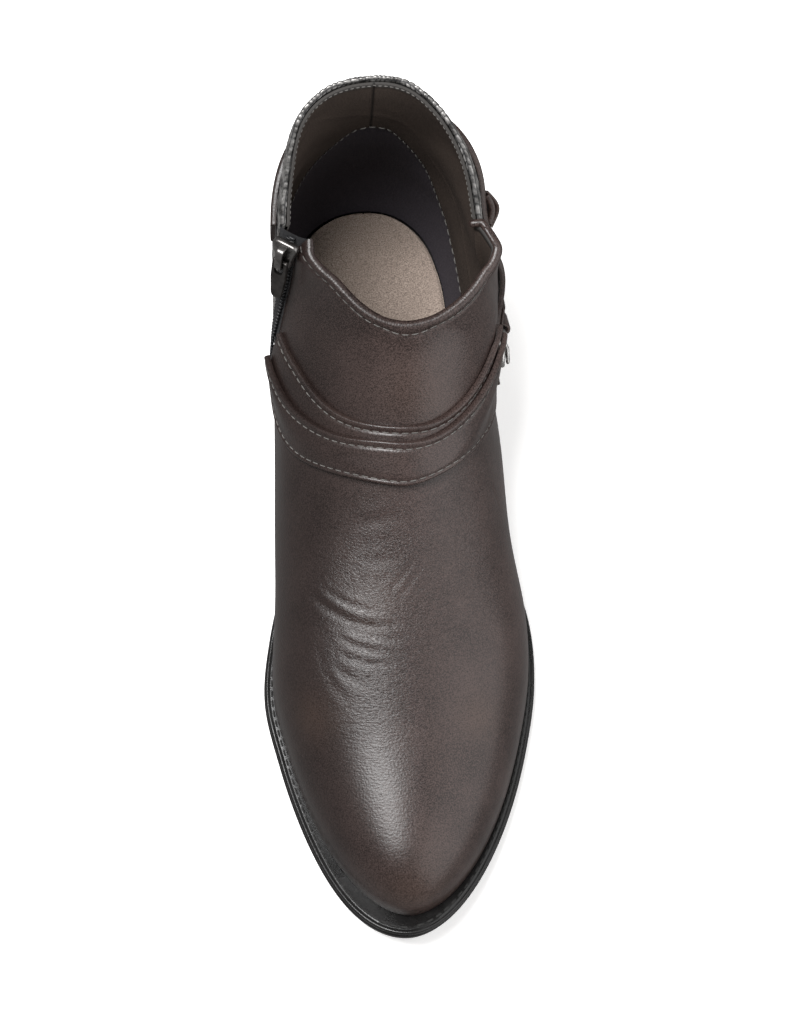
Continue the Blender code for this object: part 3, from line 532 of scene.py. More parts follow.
# Materials: a texture is a noise with its size in millimetres, a band spreads part of it over other values
Texture = namedtuple("Texture", "size detail roughness")
Band = namedtuple("Band", "low high to_low to_high", defaults=(0.0, 1.0))
TAUPE_DARK = (0.017, 0.0105, 0.0093)
TAUPE_LIGHT = (0.043, 0.0288, 0.0258)
TAUPE_WARM = (0.072, 0.044, 0.032)
DEEP_SHARE = 0.4           # darkest specks, and the painted shade towards the inner side, as a share of the dark tone
PALE_SHARE = 1.45          # palest specks, as a share of the light tone
LEATHER_ROUGHNESS = 0.34
LEATHER_SPECULAR = 0.4
LEATHER_RELIEF = 0.062
LEATHER_TONE = Texture(22.0, 3.0, 0.55)
LEATHER_SPECK = Texture(0.45, 3.0, 0.65)
LEATHER_PATCH = Texture(40.0, 2.0, 0.5)
TONE_BAND = Band(0.35, 0.68)
PALE_BAND = Band(0.45, 0.68, 0.0, 0.9)
DEEP_BAND = Band(0.5, 0.32, 0.0, 0.85)
PATCH_BAND = Band(0.52, 0.75, 0.0, 0.5)
LEATHER_GLOSS = Band(0.3, 0.7, 0.28, 0.4)
INNER_PAINTED_SHADE = Band(2.0, -26.0, 0.0, 0.62)    # painted shade: darker between these places, towards the inner side
PEBBLE_SIZE = 0.7
PEBBLE_HEIGHT = 0.9
WRINKLE = Texture(None, 3.0, 0.6)           # in coordinates that the vamp brings along
WRINKLE_MIDDLE = 0.5
WRINKLE_BAND = Band(0.0, 0.09, 1.0, 0.0)
WRINKLE_DEPTH = 0.75
# painted shade: how much the vamp's wrinkle lines darken its colour
WRINKLE_PAINTED_SHADE = 0.5

SILVER = (0.2, 0.19, 0.185)
SILVER_TONES = (0.07, 0.067, 0.064), (0.40, 0.39, 0.38)
GROOVE_BLACK = (0.006, 0.006, 0.007)
CROCODILE_ROUGHNESS = 0.4
CROCODILE_METALLIC = 0.6
CROCODILE_SHADE = Texture(4.0, 3.0, 0.6)
CROCODILE_GRAIN = Texture(0.5, 2.0, 0.6)
CROCODILE_RELIEF = 0.05
SILVER_BAND = Band(0.35, 0.65)
GROOVE_METALLIC = Band(0.0, 1.0, 0.8, 0.0)
CROCODILE_GLOSS = Band(0.3, 0.7, 0.3, 0.5)

CLOTH_SPECULAR = 0.2
BROWN = (0.04, 0.03, 0.024)
BROWN_TONES = (0.028, 0.0205, 0.017), (0.062, 0.046, 0.037)
BROWN_CLOUD = (0.027, 0.0195, 0.016)
PILE_TONES = (0.024, 0.0202, 0.0236), (0.057, 0.0505, 0.06)
PIPING_GREY = (0.045, 0.042, 0.04)
# black of the painted shade under the lining's binding, and of its back seam
SHADE_AND_SEAM_BLACK = (0.004, 0.004, 0.004)
LINING_ROUGHNESS = 0.8
LINING_THREAD = Texture((0.5, 0.5, 0.9), 2.0, 0.6)
LINING_CLOUD = Texture(12.0, 2.0, 0.5)
LINING_BAND = Band(0.4, 0.7, 0.0, 0.5)
LINING_RELIEF = 0.12

SOCK = (0.14, 0.115, 0.098)
SOCK_TONES = (0.16, 0.124, 0.104), (0.46, 0.373, 0.314)
SOCK_CLOUDED = (0.22, 0.175, 0.147)
SOCK_ROUGHNESS = 0.85
SOCK_SHEEN = 0.1
SOCK_FLECK = Texture(0.45, 3.0, 0.7)
SOCK_CLOUD = Texture(14.0, 2.0, 0.5)
FLECK_BAND = Band(0.36, 0.66)
SOCK_BAND = Band(0.3, 0.7, 0.0, 0.3)
SOCK_RELIEF = 0.18

RUBBER_BLACK = (0.0045, 0.0042, 0.0042)
RUBBER_ROUGHNESS = 0.27
RUBBER_SPECULAR = 0.4
RUBBER_GRIT = Texture(0.6, 3.0, 0.65)
RUBBER_SCUFF = Texture(9.0, 3.0, 0.6)
SCUFF_BAND = Band(0.45, 0.75, 0.0, 0.6)
DUST_SHARE = 2.2           # scuffs are lighter by this share and this much more
DUST_MORE = 0.004
METAL_BRUSH = Texture((0.25, 0.25, 3.0), 2.0, 0.6)
METAL_CLOUD = Texture(3.0, 2.0, 0.6)
TARNISH_BAND = Band(0.4, 0.7)
TARNISH_SHARE = 0.55
METAL_RELIEF = 0.02
GLOSS_PART = (0.3, 0.7)    # part of a noise that goes from smoother to rougher
SMOOTHER = 0.08
RUBBER_ROUGHER = 0.1
METAL_ROUGHER = 0.12
CLOTH_ROUGHNESS = 0.85
FIBRE_BAND = Band(0.3, 0.7)
FIBRE_DETAIL = (2.0, 0.6)
FIBRE_RELIEF = 0.1


def mix(first, second, share):
    return first + (second - first) * share


def smoothstep(value):
    value = np.clip(value, 0.0, 1.0)
    return value * value * (3.0 - 2.0 * value)


def bell(distance, width):
    return np.exp(-(distance / width) ** 2)


def unit(vectors):
    return vectors / np.linalg.norm(vectors, axis=-1, keepdims=True)


def soften(value, power):
    """Power of a value's size that keeps its sign."""
    return np.sign(value) * np.abs(value) ** power


def full_turn(count):
    """Angles of the points of a ring."""
    return 2.0 * np.pi * np.arange(count) / count


def blunt_size(count, power, least):
    """Share of the full radius along a tube whose ends are rounded off."""
    return np.sqrt(np.clip(1.0 - np.linspace(-1.0, 1.0, count) ** power, least, 1.0))


def sample(values, keys, spots):
    """Rows of values, read at spots between their keys."""
    columns = [np.interp(spots, keys, values[:, axis]) for axis in range(values.shape[1])]
    return np.stack(columns, axis=-1)


def lookup(rows, key, column, value):
    """Smooth curve through a table's rows, level before the first and after the last."""
    keys = np.array([getattr(row, key) for row in rows], float)
    values = np.array([getattr(row, column) for row in rows], float)
    slopes = np.gradient(values)
    slopes[1:-1] = (values[2:] - values[:-2]) / (keys[2:] - keys[:-2])
    slopes[0] = (values[1] - values[0]) / (keys[1] - keys[0])
    slopes[-1] = (values[-1] - values[-2]) / (keys[-1] - keys[-2])
    value = np.clip(value, keys[0], keys[-1])
    index = np.clip(np.searchsorted(keys, value, side="right") - 1, 0, len(keys) - 2)
    span = keys[index + 1] - keys[index]
    share = (value - keys[index]) / span
    rest = 1.0 - share
    start = (1.0 + 2.0 * share) * values[index] + share * span * slopes[index]
    end = (1.0 + 2.0 * rest) * values[index + 1] - rest * span * slopes[index + 1]
    return rest * rest * start + share * share * end


# The last


def place(across, station, height):
    return np.stack(np.broadcast_arrays(across - CENTRE_ACROSS, CENTRE_STATION - station, height), axis=-1)


def feather_height(station):
    share = np.clip((station - LIFT_START) / (LIFT_END - LIFT_START), 0.0, 1.0)
    height = BALL_HEIGHT + HEEL_LIFT * (1.0 + np.cos(np.pi * share)) / 2.0
    spring = np.maximum(0.0, (station - SPRING_START) / (TOE_STATION - SPRING_START))
    return height + TOE_SPRING * spring * spring


def front_station(rise):
    return lookup(PROFILE, "rise", "front", rise)


def back_station(rise):
    return lookup(PROFILE, "rise", "back", rise)


RIDGE_RISES = np.linspace(PROFILE[0].rise, PROFILE[-1].rise, RIDGE_SAMPLES)
RIDGE_STATIONS = front_station(RIDGE_RISES)


def ridge_rise(station):
    """Rise of the front ridge over a station."""
    return np.maximum(np.interp(station, RIDGE_STATIONS[::-1], RIDGE_RISES[::-1]), LOWEST_RISE)


def half_width(side, station, rise):
    """Distance of the last's wall from its middle, on one side of the foot."""
    outer = side > 0

    def column(rows, key, value, ending=""):
        inner_value = lookup(rows, key, "medial" + ending, value)
        return np.where(outer, lookup(rows, key, "lateral" + ending, value), inner_value)

    def pick(table, name):
        return np.where(outer, getattr(table[LATERAL], name), getattr(table[MEDIAL], name))

    start = pick(TOE_SHAPE, "start")
    power = pick(TOE_SHAPE, "power")
    share = np.clip((station - start) / (TOE_STATION - start), 0.0, 1.0)
    closing = (1.0 - share ** power) ** (1.0 / power)
    rise = np.maximum(rise, 0.0)
    up_swell = np.sin(np.pi / 2.0 * np.minimum(1.0, rise / SWELL_RISE))
    swell = column(FOOT, "station", station, "_swell") * up_swell
    foot = (column(FOOT, "station", station) + swell) * closing
    up_shaft = smoothstep((rise - SHAFT_START) / (SHAFT_FULL - SHAFT_START))
    width = mix(foot, column(SHAFT, "rise", rise), up_shaft)
    up_heel = smoothstep((rise - HEEL_START) / (HEEL_FULL - HEEL_START))
    heel_round = mix(pick(HEEL_SHAPE, "sole"), pick(HEEL_SHAPE, "collar"), up_heel)
    heel_round = heel_round + pick(HEEL_SHAPE, "strap") * bell(rise - HEEL_STRAP_RISE, HEEL_STRAP_HEIGHT)
    share = np.clip(1.0 - (station - back_station(rise)) / heel_round, 0.0, 1.0)
    width = width * (1.0 - share ** HEEL_POWER) ** (1.0 / HEEL_POWER)
    fill = OUTER_FILL * bell(station - FILL_STATION, FILL_LENGTH) * bell(rise - FILL_RISE, FILL_HEIGHT)
    width = width + np.where(outer, fill, 0.0)
    share = np.minimum(1.0, rise / ridge_rise(station))
    return width * np.sqrt(1.0 - share ** ARCH_POWER)


def lean(rise, most):
    return most * smoothstep((rise - LEAN_START) / (LEAN_FULL - LEAN_START))


def seam_station(rise):
    return SEAM_STATION + SEAM_SLOPE * (COLLAR_RISE - rise)


def side_of(turn):
    return np.where(turn >= 0.0, LATERAL, MEDIAL)


def swing(turn):
    return 1.0 - np.cos(np.abs(turn) * np.pi / 2.0)


def vamp_point(turn, rise):
    """Point on the vamp: turn is -1 at the zip, 0 on the ridge and 1 at the outer seam."""
    side = side_of(turn)
    front = front_station(rise)
    seam = seam_station(rise) + np.where(side == LATERAL, -SEAM_OVERLAP, ZIP_SLOT / 2.0)
    station = front - (front - seam) * swing(turn)
    most = mix(VAMP_LEAN, ZIP_LEAN, smoothstep(-turn))
    most = mix(most, SEAM_LEAN, np.maximum(0.0, (turn - TUCK_START) / (1.0 - TUCK_START)) ** 2)
    across = lean(rise, most) + side * half_width(side, station, rise)
    return place(across, station, feather_height(station) + rise)


def quarter_point(turn, rise):
    """Point on the back quarter: turn is -1 at the zip, 0 at the heel's back and 1 at the outer seam."""
    side = side_of(turn)
    back = back_station(rise)
    seam = seam_station(rise) - np.where(side == LATERAL, SEAM_RAMP, ZIP_SLOT) / 2.0
    station = back + (seam - back) * swing(turn)
    width = half_width(side, station, rise) - VAMP_STEP * swing(turn)
    across = lean(rise, QUARTER_LEAN) + side * width
    return place(across, station, feather_height(station) + rise)


def girth_point(turn, rise):
    """The quarter's wall carried on over the vamp: past turn 1 it runs along the vamp's outer side."""
    side = side_of(turn)
    back = back_station(rise)
    station = back + (seam_station(rise) - back) * swing(turn)
    over_vamp = smoothstep((turn - CLIMB_START) / (CLIMB_END - CLIMB_START))
    width = half_width(side, station, rise) - VAMP_STEP * swing(turn) * (1.0 - over_vamp)
    across = lean(rise, mix(QUARTER_LEAN, STRAP_LEAN, over_vamp)) + side * width
    return place(across, station, feather_height(station) + rise)


def quarter_collar(turn):
    return COLLAR_RISE + BACK_COLLAR_EXTRA * (1.0 - swing(turn) ** COLLAR_POWER)


def vamp_collar(turn):
    return np.full_like(turn, COLLAR_RISE)


def panel_grid(collar, columns, rows, low, drop=0.0, reach=1.0):
    """(turn, rise) over a panel, from a low rise to a drop below its collar."""
    turns = np.linspace(-reach, reach, columns + 1)[None, :]
    share = np.linspace(0.0, 1.0, rows + 1)[:, None]
    return np.broadcast_arrays(turns, mix(low, collar(turns) - drop, share))


def surface_normal(surface, outward, turn, rise):
    along = surface(turn + NORMAL_TURN, rise) - surface(turn - NORMAL_TURN, rise)
    up = surface(turn, rise + NORMAL_RISE) - surface(turn, rise - NORMAL_RISE)
    return unit(np.cross(along, up)) * outward


def lifted(surface, outward, turn, rise, lift):
    """Point at a distance from a surface along its normal."""
    normal = surface_normal(surface, outward, turn, rise)
    return surface(turn, rise) + normal * np.asarray(lift)[..., None]


# Meshes


def grid_faces(rows, columns, wrap=False, stack=False, flip=False):
    """Quads of a grid of points; wrap joins the last column to the first, stack the last row to the first."""
    index = np.arange(rows * columns).reshape(rows, columns)
    right = np.roll(index, -1, axis=1)
    above = np.roll(index, -1, axis=0)
    corner = np.roll(right, -1, axis=0)
    ring = [index, right, corner, above]
    if flip:
        ring.reverse()
    faces = np.stack(ring, axis=-1)
    faces = faces if stack else faces[:-1]
    faces = faces if wrap else faces[:, :-1]
    return faces.reshape(-1, 4)


Grid = namedtuple("Grid", "points wrap stack flip", defaults=(False, False, False))


def tube(sections, flip=False):
    """Closed tube through sections, drawn in to its middle at both ends."""
    ends = [np.broadcast_to(sections[index].mean(axis=0), sections[index].shape) for index in (0, -1)]
    return Grid(np.concatenate([ends[0][None], sections, ends[1][None]]), wrap=True, flip=flip)


def mesh_of(name, grids, marks=None, sharp=SMOOTH_ANGLE, extra_faces=()):
    """One mesh from grids of points in millimetres, with named values at its points."""
    points = []
    faces = []
    count = 0
    for grid in grids:
        rows, columns = grid.points.shape[:2]
        faces.append(grid_faces(rows, columns, grid.wrap, grid.stack, grid.flip) + count)
        points.append(grid.points.reshape(-1, 3))
        count += rows * columns
    face_list = np.concatenate(faces).tolist() + [list(face) for face in extra_faces]
    mesh = bpy.data.meshes.new(name)
    mesh.from_pydata(np.concatenate(points) * MM, [], face_list)
    for label, values in (marks or {}).items():
        vector = values.ndim == 3
        made = mesh.attributes.new(label, "FLOAT_VECTOR" if vector else "FLOAT", "POINT")
        made.data.foreach_set("vector" if vector else "value", values.astype(np.float32).ravel())
    mesh.validate()
    mesh.shade_smooth()
    mesh.set_sharp_from_angle(angle=math.radians(sharp))
    return mesh


def add_object(name, data):
    item = bpy.data.objects.new(name, data)
    bpy.context.scene.collection.objects.link(item)
    return item


def add_piece(name, grids, finish, slot, replaced=(), body=BOOT, **shape):
    """One piece of the boot; shape can hold its marks, its sharp angle and extra faces."""
    mesh = mesh_of(name, grids, **shape)
    item = add_object(name, mesh)
    mesh.materials.append(finish)
    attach(item, body)
    if replaced:
        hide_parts(*replaced)


def grid_normals(points, outward=1.0):
    along = np.gradient(points, axis=1)
    up = np.gradient(points, axis=0)
    return unit(np.cross(along, up)) * outward


def from_top(points):
    """Distance of each point of a grid from the top of its column."""
    steps = np.linalg.norm(np.diff(points, axis=0), axis=-1)
    distance = np.zeros(points.shape[:2])
    distance[:-1] = np.cumsum(steps[::-1], axis=0)[::-1]
    return distance


def edge_roll(distance, roll):
    """Swell of a folded edge and the groove that its stitches pull, by distance from the edge."""
    swell = roll.swell * bell(distance - roll.width / 2.0, roll.width / 2.0)
    return swell - roll.groove * bell(distance - roll.stitch, roll.groove_width)


def fold_over(points, normals, roll):
    """Carry a grid over its top edge, round a fold and down its inner side, and close both of its ends."""
    edge = points[-1]
    normal = normals[-1]
    up = unit(points[-1] - points[-2])
    rows = []
    middle = []
    for step in range(1, FOLD_STEPS + 1):
        angle = np.pi * step / FOLD_STEPS
        rows.append(edge - normal * roll.radius * (1.0 - np.cos(angle)) + up * roll.radius * np.sin(angle))
        middle.append(edge - normal * roll.radius)
    for depth in roll.inside:
        rows.append(edge - normal * 2.0 * roll.radius - up * depth)
        middle.append(rows[-1] + normal * roll.radius)
    whole = np.concatenate([points, np.stack(rows)])
    middle = np.concatenate([points - normals * roll.radius, np.stack(middle)])
    return np.concatenate([middle[:, :1], whole, middle[:, -1:]], axis=1)


def line_at(values, distance, wanted):
    """Values along the line of a grid that lies at a wanted distance from its top edge."""
    columns = range(values.shape[1])
    return np.array([sample(values[::-1, column], distance[::-1, column], wanted) for column in columns])


def stitch_line(points, normals, distance, wanted):
    return line_at(points, distance, wanted), line_at(normals, distance, wanted)


def running_length(line):
    steps = np.linalg.norm(np.diff(line, axis=0), axis=-1)
    return np.concatenate([[0.0], np.cumsum(steps)])


def round_sections(spine, side, top, sizes, sides):
    """Round sections about the points of a spine, with a size for each of them."""
    angle = full_turn(sides)
    ring = np.cos(angle)[None, :, None] * side[:, None] + np.sin(angle)[None, :, None] * top[:, None]
    return spine[:, None] + sizes[:, None, None] * ring


def stitches(line, normals, style):
    """Grids of single stitches that lie along a line on a surface."""
    lengths = running_length(line)
    count = int(lengths[-1] / style.pitch)
    start = (lengths[-1] - count * style.pitch) / 2.0
    made = []
    for index in range(count):
        along = start + (index + 0.5) * style.pitch + style.length / 2.0 * STITCH_ALONG
        spine = sample(line, lengths, along)
        normal = unit(sample(normals, lengths, along))
        side = unit(np.cross(np.gradient(spine, axis=0), normal))
        spine = spine + normal * (STITCH_LIFT * style.radius)[:, None]
        rings = round_sections(spine, side, normal, STITCH_SIZE * style.radius, STITCH_SIDES)
        made.append(Grid(rings, wrap=True))
    return made


# Materials


def socket_name(label):
    return label.replace("_", " ").title().replace("Ior", "IOR")


def add_node(tree, kind, inputs=None, **settings):
    made = tree.nodes.new(kind)
    for name, value in settings.items():
        setattr(made, name, value)
    for name, value in (inputs or {}).items():
        if isinstance(value, bpy.types.NodeSocket):
            tree.links.new(value, made.inputs[name])
        else:
            made.inputs[name].default_value = value
    return made


def new_finish(name, colour, roughness, **extra):
    """A material with its shader, whose uniform values are set on the shader itself."""
    made = bpy.data.materials.new(name)
    made.use_nodes = True
    shader = made.node_tree.nodes["Principled BSDF"]
    shader.inputs["Base Color"].default_value = (*colour, 1.0)
    shader.inputs["Roughness"].default_value = roughness
    for label, value in extra.items():
        shader.inputs[socket_name(label)].default_value = value
    return made, made.node_tree, shader


def feed(tree, shader, **values):
    """Link values to sockets of the shader."""
    for label, value in values.items():
        tree.links.new(value, shader.inputs[socket_name(label)])


def coordinates(tree, scale):
    """Object coordinates in units of a scale in millimetres, one scale or one for each axis."""
    scale = scale if isinstance(scale, tuple) else (scale, scale, scale)
    source = add_node(tree, "ShaderNodeTexCoord").outputs["Object"]
    inputs = {"Vector": source, "Scale": [1.0 / (size * MM) for size in scale]}
    return add_node(tree, "ShaderNodeMapping", inputs).outputs["Vector"]


def attribute(tree, name, output="Fac"):
    return add_node(tree, "ShaderNodeAttribute", attribute_name=name).outputs[output]


def noise(tree, texture, vector=None):
    """Noise of a texture, over the object's coordinates where no others are given."""
    if vector is None:
        vector = coordinates(tree, texture.size)
    inputs = {"Vector": vector, "Scale": 1.0, "Detail": texture.detail, "Roughness": texture.roughness}
    return add_node(tree, "ShaderNodeTexNoise", inputs).outputs["Fac"]


def cells(tree, size):
    inputs = {"Vector": coordinates(tree, size), "Scale": 1.0}
    return add_node(tree, "ShaderNodeTexVoronoi", inputs, feature="SMOOTH_F1").outputs["Distance"]


def spread(tree, value, band):
    inputs = {"Value": value, "From Min": band.low, "From Max": band.high}
    inputs.update({"To Min": band.to_low, "To Max": band.to_high})
    return add_node(tree, "ShaderNodeMapRange", inputs).outputs["Result"]


def combine(tree, operation, first, second):
    made = add_node(tree, "ShaderNodeMath", {0: first, 1: second}, operation=operation)
    return made.outputs["Value"]


def blend_colour(tree, share, first, second):
    made = add_node(tree, "ShaderNodeMix", {"Factor": share}, data_type="RGBA")
    sockets = [socket for socket in made.inputs if socket.type == "RGBA"]
    for socket, value in zip(sockets, (first, second)):
        if isinstance(value, bpy.types.NodeSocket):
            tree.links.new(value, socket)
        else:
            socket.default_value = (*value, 1.0)
    return [socket for socket in made.outputs if socket.type == "RGBA"][0]


def tint(tree, value, band, first, second):
    """Colour that goes from the first to the second over a band of a value."""
    return blend_colour(tree, spread(tree, value, band), first, second)


def bump(tree, shader, height, depth):
    """Relief of a height in millimetres."""
    made = add_node(tree, "ShaderNodeBump", {"Height": height, "Distance": depth * MM, "Strength": 1.0})
    feed(tree, shader, normal=made.outputs["Normal"])


def leather(name, wrinkled):
    """Semi-gloss taupe leather with a pebble grain, mottled in tone, with wrinkles on the vamp whose lines
    carry painted shade, and painted shade towards the inner side.
    """
    made, tree, shader = new_finish(name, TAUPE_DARK, LEATHER_ROUGHNESS, specular_ior_level=LEATHER_SPECULAR)
    deep = tuple(DEEP_SHARE * value for value in TAUPE_DARK)
    pale = tuple(PALE_SHARE * value for value in TAUPE_LIGHT)
    speck = noise(tree, LEATHER_SPECK)
    colour = tint(tree, noise(tree, LEATHER_TONE), TONE_BAND, TAUPE_DARK, TAUPE_LIGHT)
    height = combine(tree, "MULTIPLY", cells(tree, PEBBLE_SIZE), PEBBLE_HEIGHT)
    if wrinkled:
        colour = blend_colour(tree, attribute(tree, "worn"), colour, TAUPE_WARM)
        wrinkle = noise(tree, WRINKLE, attribute(tree, "grain", "Vector"))
        line = combine(tree, "ABSOLUTE", combine(tree, "SUBTRACT", wrinkle, WRINKLE_MIDDLE), 0.0)
        line = combine(tree, "MULTIPLY", spread(tree, line, WRINKLE_BAND), attribute(tree, "flex"))
        height = combine(tree, "SUBTRACT", height, combine(tree, "MULTIPLY", line, WRINKLE_DEPTH))
        # painted shade in the wrinkle lines
        colour = blend_colour(tree, combine(tree, "MULTIPLY", line, WRINKLE_PAINTED_SHADE), colour, TAUPE_DARK)
    else:
        colour = tint(tree, noise(tree, LEATHER_PATCH), PATCH_BAND, colour, TAUPE_WARM)
    colour = tint(tree, speck, PALE_BAND, colour, pale)
    colour = tint(tree, speck, DEEP_BAND, colour, deep)
    # painted shade: the colour darkens towards the inner side of the boot
    across = add_node(tree, "ShaderNodeSeparateXYZ", {"Vector": coordinates(tree, 1.0)}).outputs["X"]
    colour = tint(tree, across, INNER_PAINTED_SHADE, colour, deep)
    feed(tree, shader, base_color=colour, roughness=spread(tree, speck, LEATHER_GLOSS))
    bump(tree, shader, height, LEATHER_RELIEF)
    return made


def crocodile(name):
    """Silvered blocks in black grooves."""
    made, tree, shader = new_finish(name, SILVER, CROCODILE_ROUGHNESS, metallic=CROCODILE_METALLIC)
    groove = attribute(tree, "groove")
    shade = noise(tree, CROCODILE_SHADE)
    colour = blend_colour(tree, groove, tint(tree, shade, SILVER_BAND, *SILVER_TONES), GROOVE_BLACK)
    feed(tree, shader, base_color=colour, metallic=spread(tree, groove, GROOVE_METALLIC))
    feed(tree, shader, roughness=spread(tree, shade, CROCODILE_GLOSS))
    bump(tree, shader, noise(tree, CROCODILE_GRAIN), CROCODILE_RELIEF)
    return made


def lining_cloth(name):
    """Brown woven lining, with a dark heel pocket where the piece says so, painted shade in the groove under
    its binding and a dark line along its back seam.
    """
    made, tree, shader = new_finish(name, BROWN, LINING_ROUGHNESS, specular_ior_level=CLOTH_SPECULAR)
    thread = noise(tree, LINING_THREAD)
    brown = blend_colour(tree, thread, *BROWN_TONES)
    brown = tint(tree, noise(tree, LINING_CLOUD), LINING_BAND, brown, BROWN_CLOUD)
    pile = blend_colour(tree, thread, *PILE_TONES)
    colour = blend_colour(tree, attribute(tree, "pocket"), brown, pile)
    colour = blend_colour(tree, attribute(tree, "piping"), colour, PIPING_GREY)
    # painted shade in the groove under the binding, and the dark back seam
    colour = blend_colour(tree, attribute(tree, "groove_shade_and_seam"), colour, SHADE_AND_SEAM_BLACK)
    feed(tree, shader, base_color=colour)
    bump(tree, shader, thread, LINING_RELIEF)
    return made


def sock_cloth(name):
    """Speckled textile of the insole."""
    made, tree, shader = new_finish(name, SOCK, SOCK_ROUGHNESS, sheen_weight=SOCK_SHEEN,
                                    specular_ior_level=CLOTH_SPECULAR)
    fleck = noise(tree, SOCK_FLECK)
    colour = tint(tree, fleck, FLECK_BAND, *SOCK_TONES)
    colour = tint(tree, noise(tree, SOCK_CLOUD), SOCK_BAND, colour, SOCK_CLOUDED)
    feed(tree, shader, base_color=colour)
    bump(tree, shader, fleck, SOCK_RELIEF)
    return made


def rubber(name, colour, roughness, depth):
    made, tree, shader = new_finish(name, colour, roughness, specular_ior_level=RUBBER_SPECULAR)
    scuff = noise(tree, RUBBER_SCUFF)
    dusty = tuple(value * DUST_SHARE + DUST_MORE for value in colour)
    gloss = Band(*GLOSS_PART, roughness - SMOOTHER, roughness + RUBBER_ROUGHER)
    feed(tree, shader, base_color=tint(tree, scuff, SCUFF_BAND, colour, dusty))
    feed(tree, shader, roughness=spread(tree, scuff, gloss))
    bump(tree, shader, noise(tree, RUBBER_GRIT), depth)
    return made


def metal(name, colour, roughness):
    made, tree, shader = new_finish(name, colour, roughness, metallic=1.0)
    brush = noise(tree, METAL_BRUSH)
    tarnish = tuple(value * TARNISH_SHARE for value in colour)
    gloss = Band(*GLOSS_PART, roughness - SMOOTHER, roughness + METAL_ROUGHER)
    feed(tree, shader, base_color=tint(tree, noise(tree, METAL_CLOUD), TARNISH_BAND, colour, tarnish))
    feed(tree, shader, roughness=spread(tree, brush, gloss))
    bump(tree, shader, brush, METAL_RELIEF)
    return made


def cloth(name, first, second, size):
    """Thread or tape, with its fibres as relief."""
    made, tree, shader = new_finish(name, first, CLOTH_ROUGHNESS)
    fibre = noise(tree, Texture(size, *FIBRE_DETAIL))
    feed(tree, shader, base_color=tint(tree, fibre, FIBRE_BAND, first, second))
    bump(tree, shader, fibre, FIBRE_RELIEF)
    return made


VAMP_LEATHER = leather("vamp_leather", True)
STRAP_LEATHER = leather("strap_leather", False)
QUARTER_LEATHER = crocodile("quarter_leather")
LINING_CLOTH = lining_cloth("lining_cloth")
SOCK_CLOTH = sock_cloth("sock_cloth")
SOLE_RUBBER = rubber("sole_rubber", RUBBER_BLACK, RUBBER_ROUGHNESS, 0.03)
WELT_RUBBER = rubber("welt_rubber", RUBBER_BLACK, RUBBER_ROUGHNESS, 0.05)
GUNMETAL = metal("gunmetal", (0.22, 0.21, 0.205), 0.32)
DARK_METAL = metal("dark_metal", (0.10, 0.093, 0.09), 0.36)
BRIGHT_METAL = metal("bright_metal", (0.5, 0.49, 0.48), 0.25)
THREAD = cloth("thread", (0.06, 0.056, 0.052), (0.15, 0.142, 0.134), 0.4)
DARK_THREAD = cloth("dark_thread", (0.008, 0.008, 0.008), (0.022, 0.021, 0.02), 0.4)
TAPE_CLOTH = cloth("tape_cloth", (0.006, 0.006, 0.007), (0.022, 0.022, 0.024), 0.5)
TEETH_PLASTIC = rubber("teeth_plastic", (0.01, 0.01, 0.011), 0.35, 0.02)


# Upper


def crease_line(crease):
    """Places along a crease, a quadratic curve through its start, middle and end."""
    share = np.linspace(0.0, 1.0, CREASE_SAMPLES)
    weights = ((1.0 - share) * (1.0 - 2.0 * share), 4.0 * share * (1.0 - share), share * (2.0 * share - 1.0))
    places = [sum(w * spot[axis] for w, spot in zip(weights, crease[:3])) for axis in range(2)]
    return vamp_point(*places), np.sin(np.pi * share) ** CREASE_FADE


def crease_relief(points):
    """Soft troughs of the flexed vamp, with a ridge on both sides of each."""
    relief = np.zeros(points.shape[:2])
    flat = points.reshape(-1, 3)
    for crease in CREASES:
        line, strength = crease_line(crease)
        reach = CREASE_REACH * crease.width
        near = np.all((flat > line.min(0) - reach) & (flat < line.max(0) + reach), axis=-1)
        gaps = np.linalg.norm(flat[near][:, None] - line[None], axis=-1)
        closest = gaps.argmin(axis=1)
        gap = gaps.min(axis=1)
        ridge = bell(gap - CREASE_RIDGE_GAP * crease.width, crease.width)
        shape = -bell(gap, crease.width) + CREASE_RIDGE * ridge
        relief.reshape(-1)[near] += crease.depth * strength[closest] * shape
    return relief


def wrinkle_field(points):
    """Coordinates whose noise is drawn out round the middle of the flexed vamp, in millimetres."""
    centre = vamp_point(np.array(GRAIN_CENTRE[0]), np.array(GRAIN_CENTRE[1]))
    away = points - centre
    radius = np.linalg.norm(away, axis=-1)
    angle = np.arctan2(away[..., 0], -away[..., 1])
    return np.stack([radius, GRAIN_ROUND * np.cos(angle), GRAIN_ROUND * np.sin(angle)], axis=-1)


def spot_zone(points, zone):
    """Share of a soft round zone about a place of the vamp."""
    centre = vamp_point(np.array(zone.turn), np.array(zone.rise))
    return zone.share * bell(np.linalg.norm(points - centre, axis=-1), zone.radius)


def flex_zone(points):
    """Where the vamp bends in wear and shows its fine wrinkles."""
    return np.clip(FLEX_LEAST + sum(spot_zone(points, zone) for zone in FLEX_ZONES), 0.0, 1.0)


def worn_zone(points):
    """Where the vamp is rubbed to a warmer brown."""
    return np.clip(sum(spot_zone(points, zone) for zone in WORN_ZONES), 0.0, 1.0)


def zip_cover(turns, rises):
    """Shift of the vamp's inner edge over the zip: none at the collar, up to the quarter below the slot."""
    edge = np.full_like(rises, -1.0)
    span = quarter_point(edge, rises) - vamp_point(edge, rises)
    beside = ZIP_COVER * smoothstep((COLLAR_RISE - rises) / COVER_DROP)
    below = smoothstep((SLOT_END + FOOT_BLEND - rises) / FOOT_BLEND)
    share = smoothstep((-turns - COVER_START) / (1.0 - COVER_START)) * mix(beside, FOOT_COVER, below)
    return share[..., None] * span


